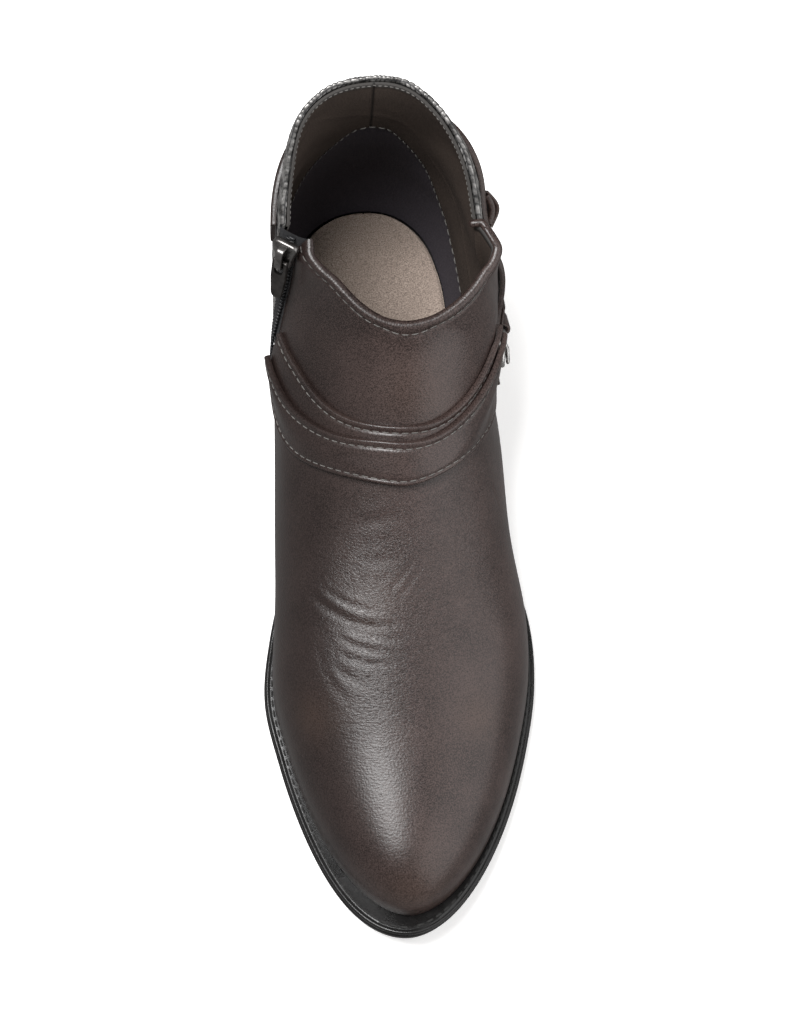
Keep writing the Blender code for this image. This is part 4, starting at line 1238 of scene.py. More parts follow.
def build_vamp():
    turns, rises = panel_grid(vamp_collar, VAMP_COLUMNS, VAMP_ROWS, FOOT_RISE)
    points = vamp_point(turns, rises)
    normals = grid_normals(points)
    distance = from_top(points)
    points = points + zip_cover(turns, rises)
    relief = edge_roll(distance, VAMP_ROLL) + crease_relief(points)
    points = points + normals * relief[..., None]
    whole = fold_over(points, normals, VAMP_ROLL)
    marks = {"grain": wrinkle_field(whole), "flex": flex_zone(whole), "worn": worn_zone(whole)}
    add_piece("vamp", [Grid(whole)], VAMP_LEATHER, "upper_leather", ["upper"], marks=marks)
    return stitches(*stitch_line(points, normals, distance, VAMP_ROLL.stitch), FRONT_STITCH)


def build_corner():
    """The vamp's rolled edge carried on inwards, over the end of the quarter's rim."""
    turns = np.linspace(CORNER_START, 1.0, CORNER_STEPS)
    rises = np.full(CORNER_STEPS, COLLAR_RISE)
    normal = surface_normal(vamp_point, 1.0, turns, rises - CORNER_SETBACK)
    spine = vamp_point(turns, rises) - normal * VAMP_ROLL.radius
    inwards = np.linspace(0.0, CORNER_REACH, CORNER_STEPS + 1)[1:, None]
    spine = np.concatenate([spine, spine[-1] - np.array([1.0, 0.0, CORNER_FALL]) * inwards])
    for _ in range(CORNER_SMOOTHING):
        spine[1:-1] = (spine[:-2] + 2.0 * spine[1:-1] + spine[2:]) / 4.0
    run = unit(np.gradient(spine, axis=0))
    side = unit(np.cross(run, UPWARDS))
    sizes = VAMP_ROLL.radius * blunt_size(len(spine), CORNER_BLUNT, CORNER_TIP)
    sections = round_sections(spine, side, np.cross(side, run), sizes, WIRE_SIDES)
    add_piece("vamp_corner", [tube(sections)], STRAP_LEATHER, "upper_leather")


def block_pattern(along, up):
    """Groove strength of crocodile blocks, in courses broken at uneven lengths, and distance from a joint."""
    chooser = np.random.default_rng(BLOCK_SEED)
    wave = sum(row.height * np.sin(along / row.along + up / row.up) for row in COURSE_WAVES)
    level = (up + wave) / BLOCK_HEIGHT
    course = np.floor(level).astype(int)
    gap = np.minimum(level - course, course + 1 - level) * BLOCK_HEIGHT
    for number in np.unique(course):
        chosen = course == number
        lengths = chooser.uniform(*BLOCK_LENGTH, size=COURSE_BLOCKS)
        joints = np.cumsum(lengths) - chooser.uniform(0.0, BLOCK_LENGTH[1]) + along.min()
        spot = along[chosen] + JOINT_WAVE * np.sin(up[chosen] * JOINT_TURN + number)
        after = np.clip(np.searchsorted(joints, spot), 1, len(joints) - 1)
        side = np.minimum(np.abs(joints[after] - spot), np.abs(spot - joints[after - 1]))
        gap[chosen] = np.minimum(gap[chosen], side)
    return 1.0 - smoothstep((gap - BLOCK_GROOVE * GROOVE_FLOOR) / (BLOCK_GROOVE * GROOVE_SLOPE)), gap


def build_quarter():
    points = quarter_point(*panel_grid(quarter_collar, QUARTER_COLUMNS, QUARTER_ROWS, FOOT_RISE))
    whole = fold_over(points, grid_normals(points, -1.0), QUARTER_ROLL)
    facing = grid_normals(whole, -1.0)
    middle_row = points[QUARTER_ROWS // 2]
    along = np.broadcast_to(np.pad(running_length(middle_row), 1, mode="edge"), whole.shape[:2])
    up = np.cumsum(np.pad(np.linalg.norm(np.diff(whole, axis=0), axis=-1), ((1, 0), (0, 0))), axis=0)
    up = up - up[QUARTER_ROWS][None, :]
    groove, gap = block_pattern(along, up)
    relief = BLOCK_RELIEF * (smoothstep(gap / BLOCK_SHOULDER) - BLOCK_SUNK)
    whole[:, 1:-1] += (facing * relief[..., None])[:, 1:-1]
    marks = {"groove": groove}
    add_piece("quarter", [Grid(whole, flip=True)], QUARTER_LEATHER, "quarter_leather", ["upper"], marks=marks)


Lining = namedtuple("Lining", "points pocket edge seam")


def carried(values, whole):
    """Values of a grid carried on over its folded edge and its closed ends."""
    return np.pad(values, ((0, len(whole) - len(values)), (1, 1)), mode="edge")


def pocket_rise(turn):
    return lookup(POCKET_LINE, "turn", "rise", np.abs(turn))


def lining_back():
    """Half of the lining inside the quarter, and the stitches along its rim."""
    turns, rises = panel_grid(quarter_collar, LINING_COLUMNS, LINING_ROWS, LINING_FLOOR, LINING_DROP)
    points = lifted(quarter_point, -1.0, turns, rises, -LINING_INSET)
    inward = -grid_normals(points, -1.0)
    distance = from_top(points)
    pocket = smoothstep((pocket_rise(turns) - rises) / POCKET_BLEND)
    fold = bell(rises - lookup(LINING_FOLD, "turn", "rise", turns), FOLD_WIDTH)
    seam = BACK_SEAM_SHADE * bell(turns, BACK_SEAM_WIDTH) * (1.0 - pocket)
    relief = edge_roll(distance, LINING_ROLL) + FOLD_HEIGHT * fold
    relief = relief - BACK_SEAM_DEPTH * seam - POCKET_DEPTH * pocket
    points = points + inward * relief[..., None]
    whole = fold_over(points, inward, LINING_ROLL)
    rim = stitches(*stitch_line(points, inward, distance, PIPING_STITCH), RIM_STITCH)
    return Lining(whole, *[carried(values, whole) for values in (pocket, distance, seam)]), rim


def lining_front():
    """Half of the lining inside the vamp."""
    turns, rises = panel_grid(vamp_collar, LINING_COLUMNS, LINING_ROWS, LINING_FLOOR, LINING_DROP,
                              LINING_REACH)
    points = lifted(vamp_point, 1.0, turns, rises, -LINING_INSET)
    inward = -grid_normals(points)
    points = points + inward * edge_roll(from_top(points), LINING_ROLL)[..., None]
    whole = fold_over(points, inward, LINING_ROLL)
    toe_box = carried(smoothstep((TOE_BOX_RISE - rises) / TOE_BOX_BLEND), whole)
    edge = carried(from_top(points), whole)
    return Lining(whole, toe_box, edge, np.zeros_like(edge))


def build_lining():
    """Both halves of the lining, joined at the outer seam; returns the stitches along its rim."""
    back, rim = lining_back()
    front = lining_front()
    share = np.linspace(0.0, 1.0, JOIN_COLUMNS)[None, :]
    points = mix(back.points[:, -2:-1], front.points[:, -2:-1], share[..., None])
    edge = np.broadcast_to(front.edge[:, -1:], points.shape[:2])
    join = Lining(points, mix(back.pocket[:, -1:], front.pocket[:, -1:], share), edge, np.zeros_like(edge))

    def joined(name):
        return np.concatenate([getattr(part, name).ravel() for part in (back, front, join)])

    edge = joined("edge")
    # painted shade in the groove under the binding; the back seam's dark line joins it
    groove = CRACK_PAINTED_SHADE * bell(edge - LINING_ROLL.stitch, LINING_ROLL.groove_width)
    marks = {
        "pocket": joined("pocket"),
        "piping": 1.0 - smoothstep((edge - PIPING_WIDTH) / PIPING_BLEND),
        "groove_shade_and_seam": np.maximum(groove, joined("seam")),
    }
    grids = [Grid(back.points), Grid(front.points, flip=True), Grid(join.points)]
    add_piece("lining", grids, LINING_CLOTH, "lining_textile", marks=marks)
    return rim


def pocket_stitches():
    turns = np.linspace(-POCKET_END, POCKET_END, POCKET_POINTS)
    rises = pocket_rise(turns) + POCKET_STITCH_RISE
    line = lifted(quarter_point, -1.0, turns, rises, -LINING_INSET - POCKET_STITCH_LIFT)
    return stitches(line, -surface_normal(quarter_point, -1.0, turns, rises), POCKET_STITCH)


# Sole


def sole_margin(angle):
    """How far the sole stands out from the feather line, by the angle round its outline."""
    from_toe = (angle + TOE_EXTRA_TURN + np.pi) % (2.0 * np.pi) - np.pi
    return SIDE_MARGIN + TOE_EXTRA * bell(from_toe, TOE_EXTRA_SPREAD)


def feather_point(angle):
    """(across, station) on the feather line: angle 0 is the toe, a half turn the heel."""
    side = np.where(np.sin(angle) >= 0.0, LATERAL, MEDIAL)
    station = mix(HEEL_STATION, TOE_STATION, (1.0 + np.cos(angle)) / 2.0)
    return side * half_width(side, station, np.zeros_like(station)), station


def outline_point(angle, offset):
    """Feather line moved outwards by offset, or inwards where it is negative."""
    before = feather_point(angle - OUTLINE_STEP)
    after = feather_point(angle + OUTLINE_STEP)
    run = np.stack([after[0] - before[0], after[1] - before[1]])
    run = run / np.hypot(*run)
    across, station = feather_point(angle)
    return across - run[1] * offset, station + run[0] * offset


def outline_ring(offset, drop):
    across, station = outline_point(full_turn(OUTLINE_POINTS), offset)
    return place(across, station, feather_height(station) - drop)


def edge_rings(rows):
    """Rings round the sole, by inset from its outline and drop below the feather line."""
    margin = sole_margin(full_turn(OUTLINE_POINTS))
    return [outline_ring(margin - row.inset, row.drop) for row in rows]


def ladder_cap(first, count):
    """Faces across a ring that is even about its first point and the one opposite."""
    half = count // 2
    faces = [(first, first + 1, first + count - 1)]
    for index in range(1, half - 1):
        faces.append((first + index, first + index + 1, first + count - index - 1, first + count - index))
    faces.append((first + half - 1, first + half, first + half + 1))
    return faces


def build_outsole():
    shelf = -WELT_UNDER - STRAP_GAP
    rings = edge_rings(OUTSOLE_EDGE)
    rings += [outline_ring(shelf, drop) for drop in (WELT_THICK + STRAP_GAP, STRAP_GAP)]
    caps = [tuple(reversed(face)) for face in ladder_cap(0, OUTLINE_POINTS)]
    caps += ladder_cap((len(rings) - 1) * OUTLINE_POINTS, OUTLINE_POINTS)
    grid = Grid(np.stack(rings), wrap=True)
    add_piece("sole", [grid], SOLE_RUBBER, "sole_rubber", ["outsole"], extra_faces=caps)


def build_welt():
    rings = edge_rings(WELT_EDGE)
    rings += [outline_ring(-WELT_UNDER, drop) for drop in (STRAP_GAP, WELT_THICK)]
    grid = Grid(np.stack(rings), wrap=True, stack=True)
    add_piece("welt_strip", [grid], WELT_RUBBER, "sole_rubber", ["welt"])
    line = edge_rings([WELT_STITCH_LINE])[0]
    line = np.concatenate([line, line[:1]])
    rows = stitches(line, np.tile(UPWARDS, (len(line), 1)), WELT_STITCH)
    add_piece("welt_stitches", rows, DARK_THREAD, "thread")


def heel_outline(inset, breast):
    """(across, station) round the heel, from one end of its breast to the other."""
    share = (breast - HEEL_STATION) / (TOE_STATION - HEEL_STATION)
    start = np.arccos(2.0 * share - 1.0)
    angle = mix(start, 2.0 * np.pi - start, np.linspace(0.0, 1.0, HEEL_POINTS))
    return outline_point(angle, SIDE_MARGIN - inset)


def build_heel():
    rings = []
    for row in HEEL_SIDE:
        breast = HEEL_BREAST - HEEL_TAPER * (1.0 - row.height / HEEL_LIFT)
        rings.append(place(*heel_outline(row.inset, breast), row.height))
    under = SOLE_DROP + HEEL_GAP
    across, station = heel_outline(HEEL_TOP_INSET, HEEL_BREAST)
    rings.append(place(across, station, feather_height(station) - under))
    caps = []
    for first, turned in ((0, True), ((len(rings) - 1) * HEEL_POINTS, False)):
        for index in range(HEEL_POINTS // 2 - 1):
            end = first + HEEL_POINTS - 1 - index
            face = (first + index, first + index + 1, end - 1, end)
            caps.append(tuple(reversed(face)) if turned else face)
    grid = Grid(np.stack(rings), wrap=True)
    add_piece("heel_block", [grid], SOLE_RUBBER, "sole_rubber", ["heel"], extra_faces=caps)


def build_insole():
    """Sock cloth over the footbed, dished a little and turned down at its edge."""
    angle = np.linspace(INSOLE_END, np.pi - INSOLE_END, INSOLE_ROWS + 1)[:, None]
    shares = np.sin(np.linspace(-1.0, 1.0, INSOLE_COLUMNS + 1) * np.pi / 2.0)
    outer = outline_point(angle, -INSOLE_INSET)
    inner = outline_point(2.0 * np.pi - angle, -INSOLE_INSET)
    across, station = [mix(inner[axis], outer[axis], (shares + 1.0) / 2.0) for axis in range(2)]
    edge = np.abs(shares)
    tuck = INSOLE_TUCK * smoothstep((edge - INSOLE_TUCK_START) / INSOLE_TUCK_WIDTH)
    height = INSOLE_THICK - tuck + INSOLE_DISH * edge ** INSOLE_DISH_POWER - INSOLE_DISH
    top = place(across, station, feather_height(station) + height)
    skirt = UPWARDS * INSOLE_SKIRT
    grid = Grid(np.concatenate([top[:, :1] - skirt, top, top[:, -1:] - skirt], axis=1))
    add_piece("insole_sock", [grid], SOCK_CLOTH, "insole_textile", ["insole"])


# Straps


Face = namedtuple("Face", "share lift up down")


def strap_face(width, rolled_bottom):
    """A strap's outer face: lift over its inner one, and distances from its lower and its upper edge."""
    share = (1.0 - np.cos(np.linspace(0.0, np.pi, STRAP_FACE)))[:, None] / 2.0
    up = share * width[None, :]
    down = width[None, :] - up
    edge = np.minimum(up, down)
    round_edge = np.sqrt(np.clip(1.0 - (1.0 - np.minimum(edge / STRAP_EDGE, 1.0)) ** 2, 0.0, 1.0))
    lift = STRAP_THICK * mix(STRAP_EDGE_THICK, 1.0, round_edge) + edge_roll(down, STRAP_ROLL)
    if rolled_bottom:
        lift = lift - STRAP_ROLL.groove * bell(up - STRAP_LOWER_STITCH, STRAP_ROLL.groove_width)
    return Face(share, lift, up, down)


def build_strap(name, node, outer, inner, normals, face, bottom_stitched, flip=False):
    """Strap between its outer and its inner face; returns its stitches."""
    sections = np.concatenate([outer, inner[::-1]]).transpose(1, 0, 2)
    add_piece(name, [tube(sections, flip)], STRAP_LEATHER, "strap_leather", [node])
    made = stitches(*stitch_line(outer, normals, face.down, STRAP_ROLL.stitch), FRONT_STITCH)
    if bottom_stitched:
        flipped = [values[::-1] for values in (outer, normals, face.up)]
        made += stitches(*stitch_line(*flipped, STRAP_LOWER_STITCH), FRONT_STITCH)
    return made


def sweep_rise(sweep, turn):
    inner = sweep.inner_fall * np.maximum(-turn, 0.0) ** sweep.inner_power
    return sweep.middle - inner - sweep.outer_fall * np.maximum(turn, 0.0) ** sweep.outer_power


def lower_strap_climb(turn, rise):
    """The lower strap climbs over the upper one where it lies on it."""
    edge = sweep_rise(UPPER_STRAP_BOTTOM, turn)
    overlap = (sweep_rise(LOWER_STRAP_TOP, turn) - edge) / OVERLAP_FULL
    ramp = (rise - edge + OVERLAP_RAMP) / OVERLAP_RAMP
    return (STRAP_THICK + OVERLAP_CLEAR) * smoothstep(overlap) * smoothstep(ramp)


def build_instep_strap(name, node, top, bottom, is_lower):
    """Strap over the instep; the lower one climbs over the other and is stitched at both edges."""
    turn = np.linspace(STRAP_INNER_END, STRAP_OUTER_END, STRAP_STEPS + 1)
    high = sweep_rise(top, turn)
    low = sweep_rise(bottom, turn)
    width = np.linalg.norm(vamp_point(turn, high) - vamp_point(turn, low), axis=-1)
    face = strap_face(width, is_lower)
    turns, rises = np.broadcast_arrays(turn, mix(low, high, face.share))
    base = STRAP_GAP + (lower_strap_climb(turns, rises) if is_lower else 0.0)
    outer = lifted(vamp_point, 1.0, turns, rises, base + face.lift)
    inner = lifted(vamp_point, 1.0, turns, rises, base)
    normals = surface_normal(vamp_point, 1.0, turns, rises)
    return build_strap(name, node, outer, inner, normals, face, is_lower)


def route_at(position):
    return lookup(BACK_STRAP, "place", "turn", position), lookup(BACK_STRAP, "place", "rise", position)


def back_strap_spot(position, sideways, lift):
    """Point on the back strap: sideways is up from its middle line, lift is off its inner face."""
    position, sideways, lift = np.broadcast_arrays(position, sideways, lift)
    turn, rise = route_at(position)
    ahead = route_at(np.minimum(position + ROUTE_STEP, BACK_STRAP[-1].place))
    behind = route_at(np.maximum(position - ROUTE_STEP, BACK_STRAP[0].place))
    run = np.stack([(ahead[0] - behind[0]) * BACK_STRAP_TURN, ahead[1] - behind[1]])
    run = run / np.hypot(*run)
    turn = turn - run[1] * sideways / BACK_STRAP_TURN
    rise = rise + run[0] * sideways
    climb = BACK_STRAP_CLIMB * smoothstep((turn - CLIMB_START) / (CLIMB_END - CLIMB_START))
    return lifted(girth_point, -1.0, turn, rise, BACK_STRAP_LIFT + climb + lift)


def build_back_strap():
    last = BACK_STRAP[-1].place
    position = np.linspace(0.0, last, STRAP_STEPS + 1)
    tip = np.minimum(1.0, (last - position) / TIP_ROUND)
    half = BACK_STRAP_HALF * np.sqrt(np.maximum(TIP_BLUNT, 1.0 - (1.0 - tip) ** 2))
    face = strap_face(2.0 * half, True)
    sideways = mix(-half[None, :], half[None, :], face.share)
    outer = back_strap_spot(position, sideways, face.lift)
    inner = back_strap_spot(position, sideways, 0.0)
    normals = unit(back_strap_spot(position, sideways, 1.0) - inner)
    return build_strap("back_strap", "strap_back", outer, inner, normals, face, True, flip=True)


def on_back_strap(position):
    """Mapping of (sideways, along, out) in millimetres to the back strap's face at a place of its route."""
    step = 2.0 * ROUTE_STEP
    span = back_strap_spot(position + step, 0.0, 0.0) - back_strap_spot(position - step, 0.0, 0.0)
    pitch = np.linalg.norm(span) / (2.0 * step)

    def spot(sideways, along, out):
        return back_strap_spot(position + along / pitch, sideways, STRAP_THICK + out)

    return spot


# Buckle and keeper


def superellipse(width, length, squareness, count):
    angle = 2.0 * np.pi * (np.arange(count) + 0.5) / count
    x = soften(np.cos(angle), 2.0 / squareness)
    y = soften(np.sin(angle), 2.0 / squareness)
    return np.stack([x * width / 2.0, y * length / 2.0], axis=-1)


def flat_normals(loop):
    """Outward normals of a closed loop in its plane, counter-clockwise."""
    run = unit(np.roll(loop, -1, axis=0) - np.roll(loop, 1, axis=0))
    return np.stack([run[:, 1], -run[:, 0]], axis=-1)


def strip_sections(profile, width, thickness):
    """Closed sections of a bent strip: a ring of (sideways, along, out) for each place of its profile."""
    profile = np.array(profile)
    run = unit(np.gradient(profile, axis=0))
    normal = np.stack([-run[:, 1], run[:, 0]], axis=-1)
    angle = full_turn(2 * STRIP_COLUMNS)
    across = soften(np.cos(angle), STRIP_SQUARE) * width / 2.0
    depth = soften(np.sin(angle), STRIP_ROUND) * thickness / 2.0
    centre = profile[:, None, :] + normal[:, None, :] * depth[None, :, None]
    sideways = np.broadcast_to(across[None, :], centre.shape[:2])
    return np.stack([sideways, centre[..., 0], centre[..., 1]], axis=-1)


def mapped(sections, spot):
    return spot(sections[..., 0], sections[..., 1], sections[..., 2])


def build_ring(spot, level):
    loop = superellipse(BUCKLE_WIDTH, BUCKLE_LENGTH, BUCKLE_SQUARENESS, BUCKLE_POINTS)
    angle = full_turn(WIRE_SIDES)
    flat = loop[:, None] + flat_normals(loop)[:, None] * (BUCKLE_WIRE * np.cos(angle))[None, :, None]
    ring = spot(flat[..., 0], flat[..., 1], level + BUCKLE_WIRE * np.sin(angle))
    grid = Grid(ring, wrap=True, stack=True, flip=True)
    add_piece("buckle_ring", [grid], BRIGHT_METAL, "hardware_metal", ["buckle_frame"])


def build_prong(spot, level):
    """Prong from inside the ring's rear bar up over its front bar."""
    over = level + BUCKLE_WIRE + STRAP_GAP + PRONG_RADIUS
    rear = -BUCKLE_LENGTH / 2.0 + BUCKLE_WIRE + STRAP_GAP + PRONG_RADIUS
    front = BUCKLE_LENGTH / 2.0
    path = np.array([
        (rear, level), (rear + PRONG_HEEL, level + PRONG_HEEL_LIFT),
        (front - PRONG_FLAT, over), (front + PRONG_OVERHANG, over),
    ])
    along = np.linspace(path[0, 0], path[-1, 0], PRONG_POINTS)[:, None]
    out = np.interp(along, path[:, 0], path[:, 1])
    size = PRONG_RADIUS * blunt_size(PRONG_POINTS, PRONG_BLUNT, PRONG_TIP)[:, None]
    angle = full_turn(WIRE_SIDES)
    prong = spot(size * np.cos(angle), along, out + size * np.sin(angle))
    add_piece("buckle_tongue", [tube(prong)], BRIGHT_METAL, "hardware_metal", ["buckle_prong"])


def build_buckle_loop(spot, level):
    """Leather that is folded round the ring's rear bar."""
    bend = BUCKLE_WIRE + LOOP_CLEAR + LOOP_THICK / 2.0
    floor = TRIM_SEAT + LOOP_THICK / 2.0
    profile = [(-LOOP_FLANGE - bend, floor), (-LOOP_FLANGE / 2.0 - bend, floor), (-bend - LOOP_CREASE, floor)]
    for step in range(LOOP_STEPS + 1):
        turn = np.pi * (1.0 - LOOP_TURN * step / LOOP_STEPS)
        profile.append((bend * np.cos(turn), level + bend * np.sin(turn)))
    profile = [(along - BUCKLE_LENGTH / 2.0, out) for along, out in profile]
    sections = mapped(strip_sections(profile, LOOP_WIDTH, LOOP_THICK), spot)
    add_piece("buckle_leather", [tube(sections)], STRAP_LEATHER, "strap_leather", ["buckle_loop"])


def build_buckle():
    spot = on_back_strap(BUCKLE_PLACE)
    level = TRIM_SEAT + BUCKLE_WIRE
    build_ring(spot, level)
    build_prong(spot, level)
    build_buckle_loop(spot, level)


def build_keeper():
    spot = on_back_strap(KEEPER_PLACE)
    share = np.linspace(0.0, 1.0, KEEPER_STEPS + 1)
    floor = TRIM_SEAT + LOOP_THICK / 2.0
    along = mix(-KEEPER_LENGTH / 2.0, KEEPER_LENGTH / 2.0, share)
    tubes = []
    for layer in KEEPER_LAYERS:
        profile = np.stack([along * layer.reach, floor + layer.proud * np.sin(np.pi * share)], axis=-1)
        tubes.append(tube(mapped(strip_sections(profile, KEEPER_WIDTH, layer.thick), spot)))
    add_piece("keeper_loop", tubes, STRAP_LEATHER, "strap_leather", ["strap_keeper"])


# Zip


ZipFrames = namedtuple("ZipFrames", "across up outward centre half")


def zip_frames(rise):
    """Axes and centre on the zip's line: across it towards the toe, up along it, and outwards."""
    def edges(height):
        side = np.full_like(height, -1.0)
        return vamp_point(side, height), quarter_point(side, height)

    front, back = edges(rise)
    up = unit(np.add(*edges(rise + ZIP_STEP)) - np.add(*edges(rise - ZIP_STEP)))
    outward = unit(np.cross(front - back, up))
    half = np.linalg.norm(front - back, axis=-1) / 2.0
    return ZipFrames(np.cross(up, outward), up, outward, (front + back) / 2.0, half)


def build_tape():
    frames = zip_frames(np.linspace(SLOT_END, COLLAR_RISE, TAPE_ROWS + 1))
    share = np.linspace(-1.0, 1.0, TAPE_COLUMNS + 1)
    reach = (frames.half + TAPE_EDGE)[:, None] * share
    out = TAPE_TOP - TAPE_DIP * np.abs(share) ** TAPE_DIP_POWER
    tape = frames.centre[:, None] + frames.across[:, None] * reach[..., None]
    tape = tape + frames.outward[:, None] * out[:, None]
    add_piece("tape", [Grid(tape)], TAPE_CLOTH, "zip_textile", ["zip_tape"])


def build_teeth():
    rise = np.linspace(SLOT_END + TEETH_START, COLLAR_RISE - TEETH_END, 2 * TEETH_PAIRS)
    across, up, outward, centre, _ = zip_frames(rise)
    pitch = np.linalg.norm(np.diff(centre, axis=0), axis=-1).mean()
    latitude = np.linspace(-np.pi / 2.0, np.pi / 2.0, TOOTH_ROWS)[:, None]
    longitude = full_turn(TOOTH_SIDES)[None, :]
    level = soften(np.cos(latitude), TOOTH_SQUARE)
    height = (TEETH_TOP - TEETH_BASE) / 2.0
    ball = np.stack([
        level * soften(np.cos(longitude), TOOTH_ROUND) * TEETH_WIDTH * TOOTH_HALF_WIDTH,
        level * soften(np.sin(longitude), TOOTH_ROUND) * pitch * TOOTH_HALF_PITCH,
        soften(np.sin(latitude), TOOTH_ROUND) * np.ones_like(longitude) * height,
    ], axis=-1)
    teeth = []
    for index in range(len(rise)):
        axes = np.stack([across[index], up[index], outward[index]])
        side = TEETH_WIDTH * TOOTH_SHIFT * (1.0 if index % 2 else -1.0)
        spot = centre[index] + across[index] * side + outward[index] * (TEETH_BASE + TEETH_TOP) / 2.0
        teeth.append(Grid(ball @ axes + spot, wrap=True))
    add_piece("teeth", teeth, TEETH_PLASTIC, "zip_plastic", ["zip_teeth"])


def slider_map(sideways, along, out):
    """Point in the slider's own frame, whose origin is on its outer face."""
    frames = zip_frames(np.array([SLIDER_RISE]))
    point = frames.centre[0] + frames.outward[0] * (SLIDER_BASE + SLIDER_THICK)
    for axis, value in zip((frames.across, frames.up, frames.outward), (sideways, along, out)):
        point = point + axis[0] * np.asarray(value)[..., None]
    return point


def build_slider():
    """Slider with rounded shoulders and a waist, and the bridge that holds the pull."""
    loop = superellipse(SLIDER_CROWN, SLIDER_LENGTH, SLIDER_SQUARENESS, SLIDER_POINTS)
    below = 1.0 - loop[:, 1:] / (SLIDER_LENGTH / 2.0)
    waist = mix(1.0, SLIDER_WAIST, smoothstep(below / WAIST_LENGTH - WAIST_START))
    loop = loop * np.concatenate([waist, np.ones_like(waist)], axis=1)
    outward = flat_normals(loop)
    rings = []
    for row in SLIDER_RIMS:
        flat = loop - outward * row.inset
        rings.append(slider_map(flat[:, 0], flat[:, 1], row.out))
    top = BRIDGE_HEIGHT - BRIDGE_THICK / 2.0
    angle = np.linspace(0.0, np.pi, BRIDGE_STEPS + 1)
    along = -BRIDGE_HALF * soften(np.cos(angle), BRIDGE_POWER)
    out = (top + BRIDGE_SUNK) * soften(np.sin(angle), BRIDGE_POWER) - BRIDGE_SUNK
    bridge = mapped(strip_sections(np.stack([along, out], axis=-1), BRIDGE_WIDTH, BRIDGE_THICK), slider_map)
    grids = [tube(np.stack(rings), flip=True), tube(bridge)]
    add_piece("slider", grids, GUNMETAL, "hardware_metal", ["zip_slider"])


def build_pull():
    """Flat tab with an eye, hanging from its bar inside the bridge."""
    half = PULL_WIDTH / 2.0
    tip = PULL_TIP_WIDTH / 2.0
    shoulder = -PULL_EYE - PULL_SHOULDER
    cut = PULL_TIP_CUT - PULL_LENGTH
    corners = [(half, PULL_BAR), (-half, PULL_BAR), (-half, shoulder), (-tip, cut)]
    corners += [(PULL_TIP_CUT - tip, -PULL_LENGTH), (tip - PULL_TIP_CUT, -PULL_LENGTH)]
    corners += [(tip, cut), (half, shoulder)]
    closed = np.array(corners + corners[:1])
    lengths = running_length(closed)
    outer = sample(closed, lengths, lengths[-1] * np.arange(PULL_POINTS) / PULL_POINTS)
    for _ in range(PULL_SMOOTHING):
        outer = (np.roll(outer, 1, axis=0) + 2.0 * outer + np.roll(outer, -1, axis=0)) / 4.0
    eye_centre = np.array([0.0, -PULL_BAR - PULL_EYE / 2.0])
    angle = np.arctan2(outer[:, 1] - eye_centre[1], outer[:, 0])
    eye = superellipse(PULL_EYE_WIDTH, PULL_EYE, PULL_EYE_SQUARENESS, PULL_EYE_POINTS)
    eye_angle = np.arctan2(eye[:, 1], eye[:, 0])
    order = np.argsort(eye_angle)
    eye = sample(eye[order], eye_angle[order], angle) + eye_centre
    inset = outer - flat_normals(outer) * PULL_BEVEL
    high = PULL_THICK / 2.0
    loops = ((eye, high), (inset, high), (outer, high - PULL_BEVEL))
    loops += ((outer, PULL_BEVEL - high), (inset, -high), (eye, -high))
    rings = [slider_map(loop[:, 0], loop[:, 1] + PULL_AXIS_ALONG, out + PULL_AXIS_OUT) for loop, out in loops]
    grid = Grid(np.stack(rings), wrap=True, stack=True, flip=True)
    add_piece("pull", [grid], DARK_METAL, "hardware_metal", ["zip_pull"], PULL, sharp=PULL_SHARP)


# Stage


def add_light(light):
    data = bpy.data.lights.new(light.name, "AREA")
    data.size = light.size
    data.energy = light.power
    item = add_object(light.name, data)
    item.location = light.place
    item.rotation_euler = (Vector(light.aim) - Vector(light.place)).to_track_quat("-Z", "Y").to_euler()


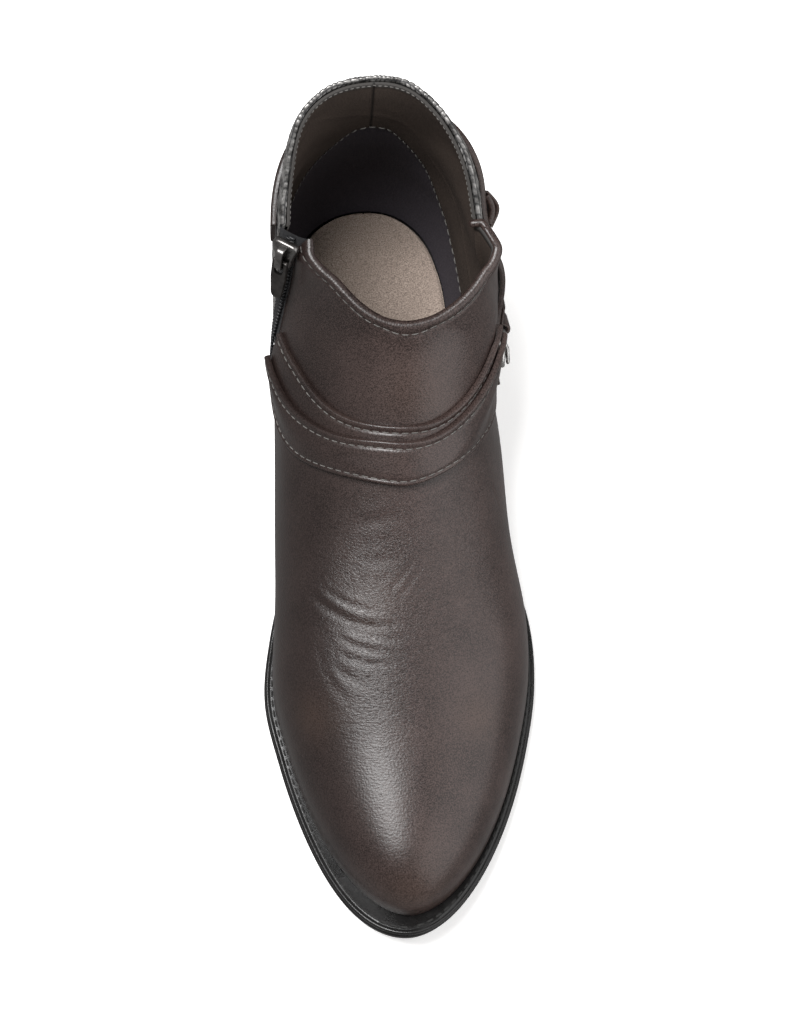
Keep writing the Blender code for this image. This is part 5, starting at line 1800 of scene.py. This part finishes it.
def build_stage():
    mesh = bpy.data.meshes.new("floor")
    corners = [(x * FLOOR_HALF, y * FLOOR_HALF, 0.0) for x, y in ((-1, -1), (1, -1), (1, 1), (-1, 1))]
    mesh.from_pydata(corners, [], [(0, 1, 2, 3)])
    paint = new_finish("floor_paint", FLOOR_COLOUR, FLOOR_ROUGHNESS, emission_color=GLOW_COLOUR,
                       emission_strength=FLOOR_GLOW)[0]
    mesh.materials.append(paint)
    floor = add_object("floor", mesh)
    floor.visible_glossy = False
    world = bpy.data.worlds.new("studio")
    world.use_nodes = True
    background = world.node_tree.nodes["Background"]
    background.inputs["Color"].default_value = WORLD_COLOUR
    background.inputs["Strength"].default_value = WORLD_STRENGTH
    bpy.context.scene.world = world
    for light in LIGHTS:
        add_light(light)
    bpy.context.scene.view_settings.view_transform = "Standard"


def build_camera():
    """Camera at the photograph's place, turned on itself, so that the boot keeps its angle to the view."""
    spot = Vector(place(*CAMERA_PLACE))
    forward = (Vector(place(*PHOTO_AIM)) - spot).normalized()
    right = forward.cross(Vector(UPWARDS)).normalized()
    up = right.cross(forward)
    forward = (forward * FOCAL_PIXELS + right * BOOT_PIXELS[0] + up * BOOT_PIXELS[1]).normalized()
    right = (right - forward * right.dot(forward)).normalized()
    up = right.cross(forward)
    data = bpy.data.cameras.new("camera")
    data.sensor_width = SENSOR
    data.lens = SENSOR * FOCAL_PIXELS / FRAME_HEIGHT
    data.clip_start = CLIP_START
    item = add_object("camera", data)
    turned = Matrix((right, up, -forward)).transposed().to_4x4()
    turned.translation = spot * MM
    item.matrix_world = turned
    bpy.context.scene.camera = item


build_camera()
build_stage()
front_rows = build_vamp()
build_corner()
build_quarter()
rim_rows = build_lining()
build_outsole()
build_welt()
build_heel()
build_insole()
front_rows += build_instep_strap("instep_strap_upper", "strap_upper", UPPER_STRAP_TOP, UPPER_STRAP_BOTTOM,
                                 is_lower=False)
front_rows += build_instep_strap("instep_strap_lower", "strap_lower", LOWER_STRAP_TOP, LOWER_STRAP_BOTTOM,
                                 is_lower=True)
front_rows += build_back_strap()
build_buckle()
build_keeper()
build_tape()
build_teeth()
build_slider()
build_pull()
add_piece("stitches", front_rows + pocket_stitches(), THREAD, "thread")
add_piece("rim_stitches", rim_rows, THREAD, "thread")
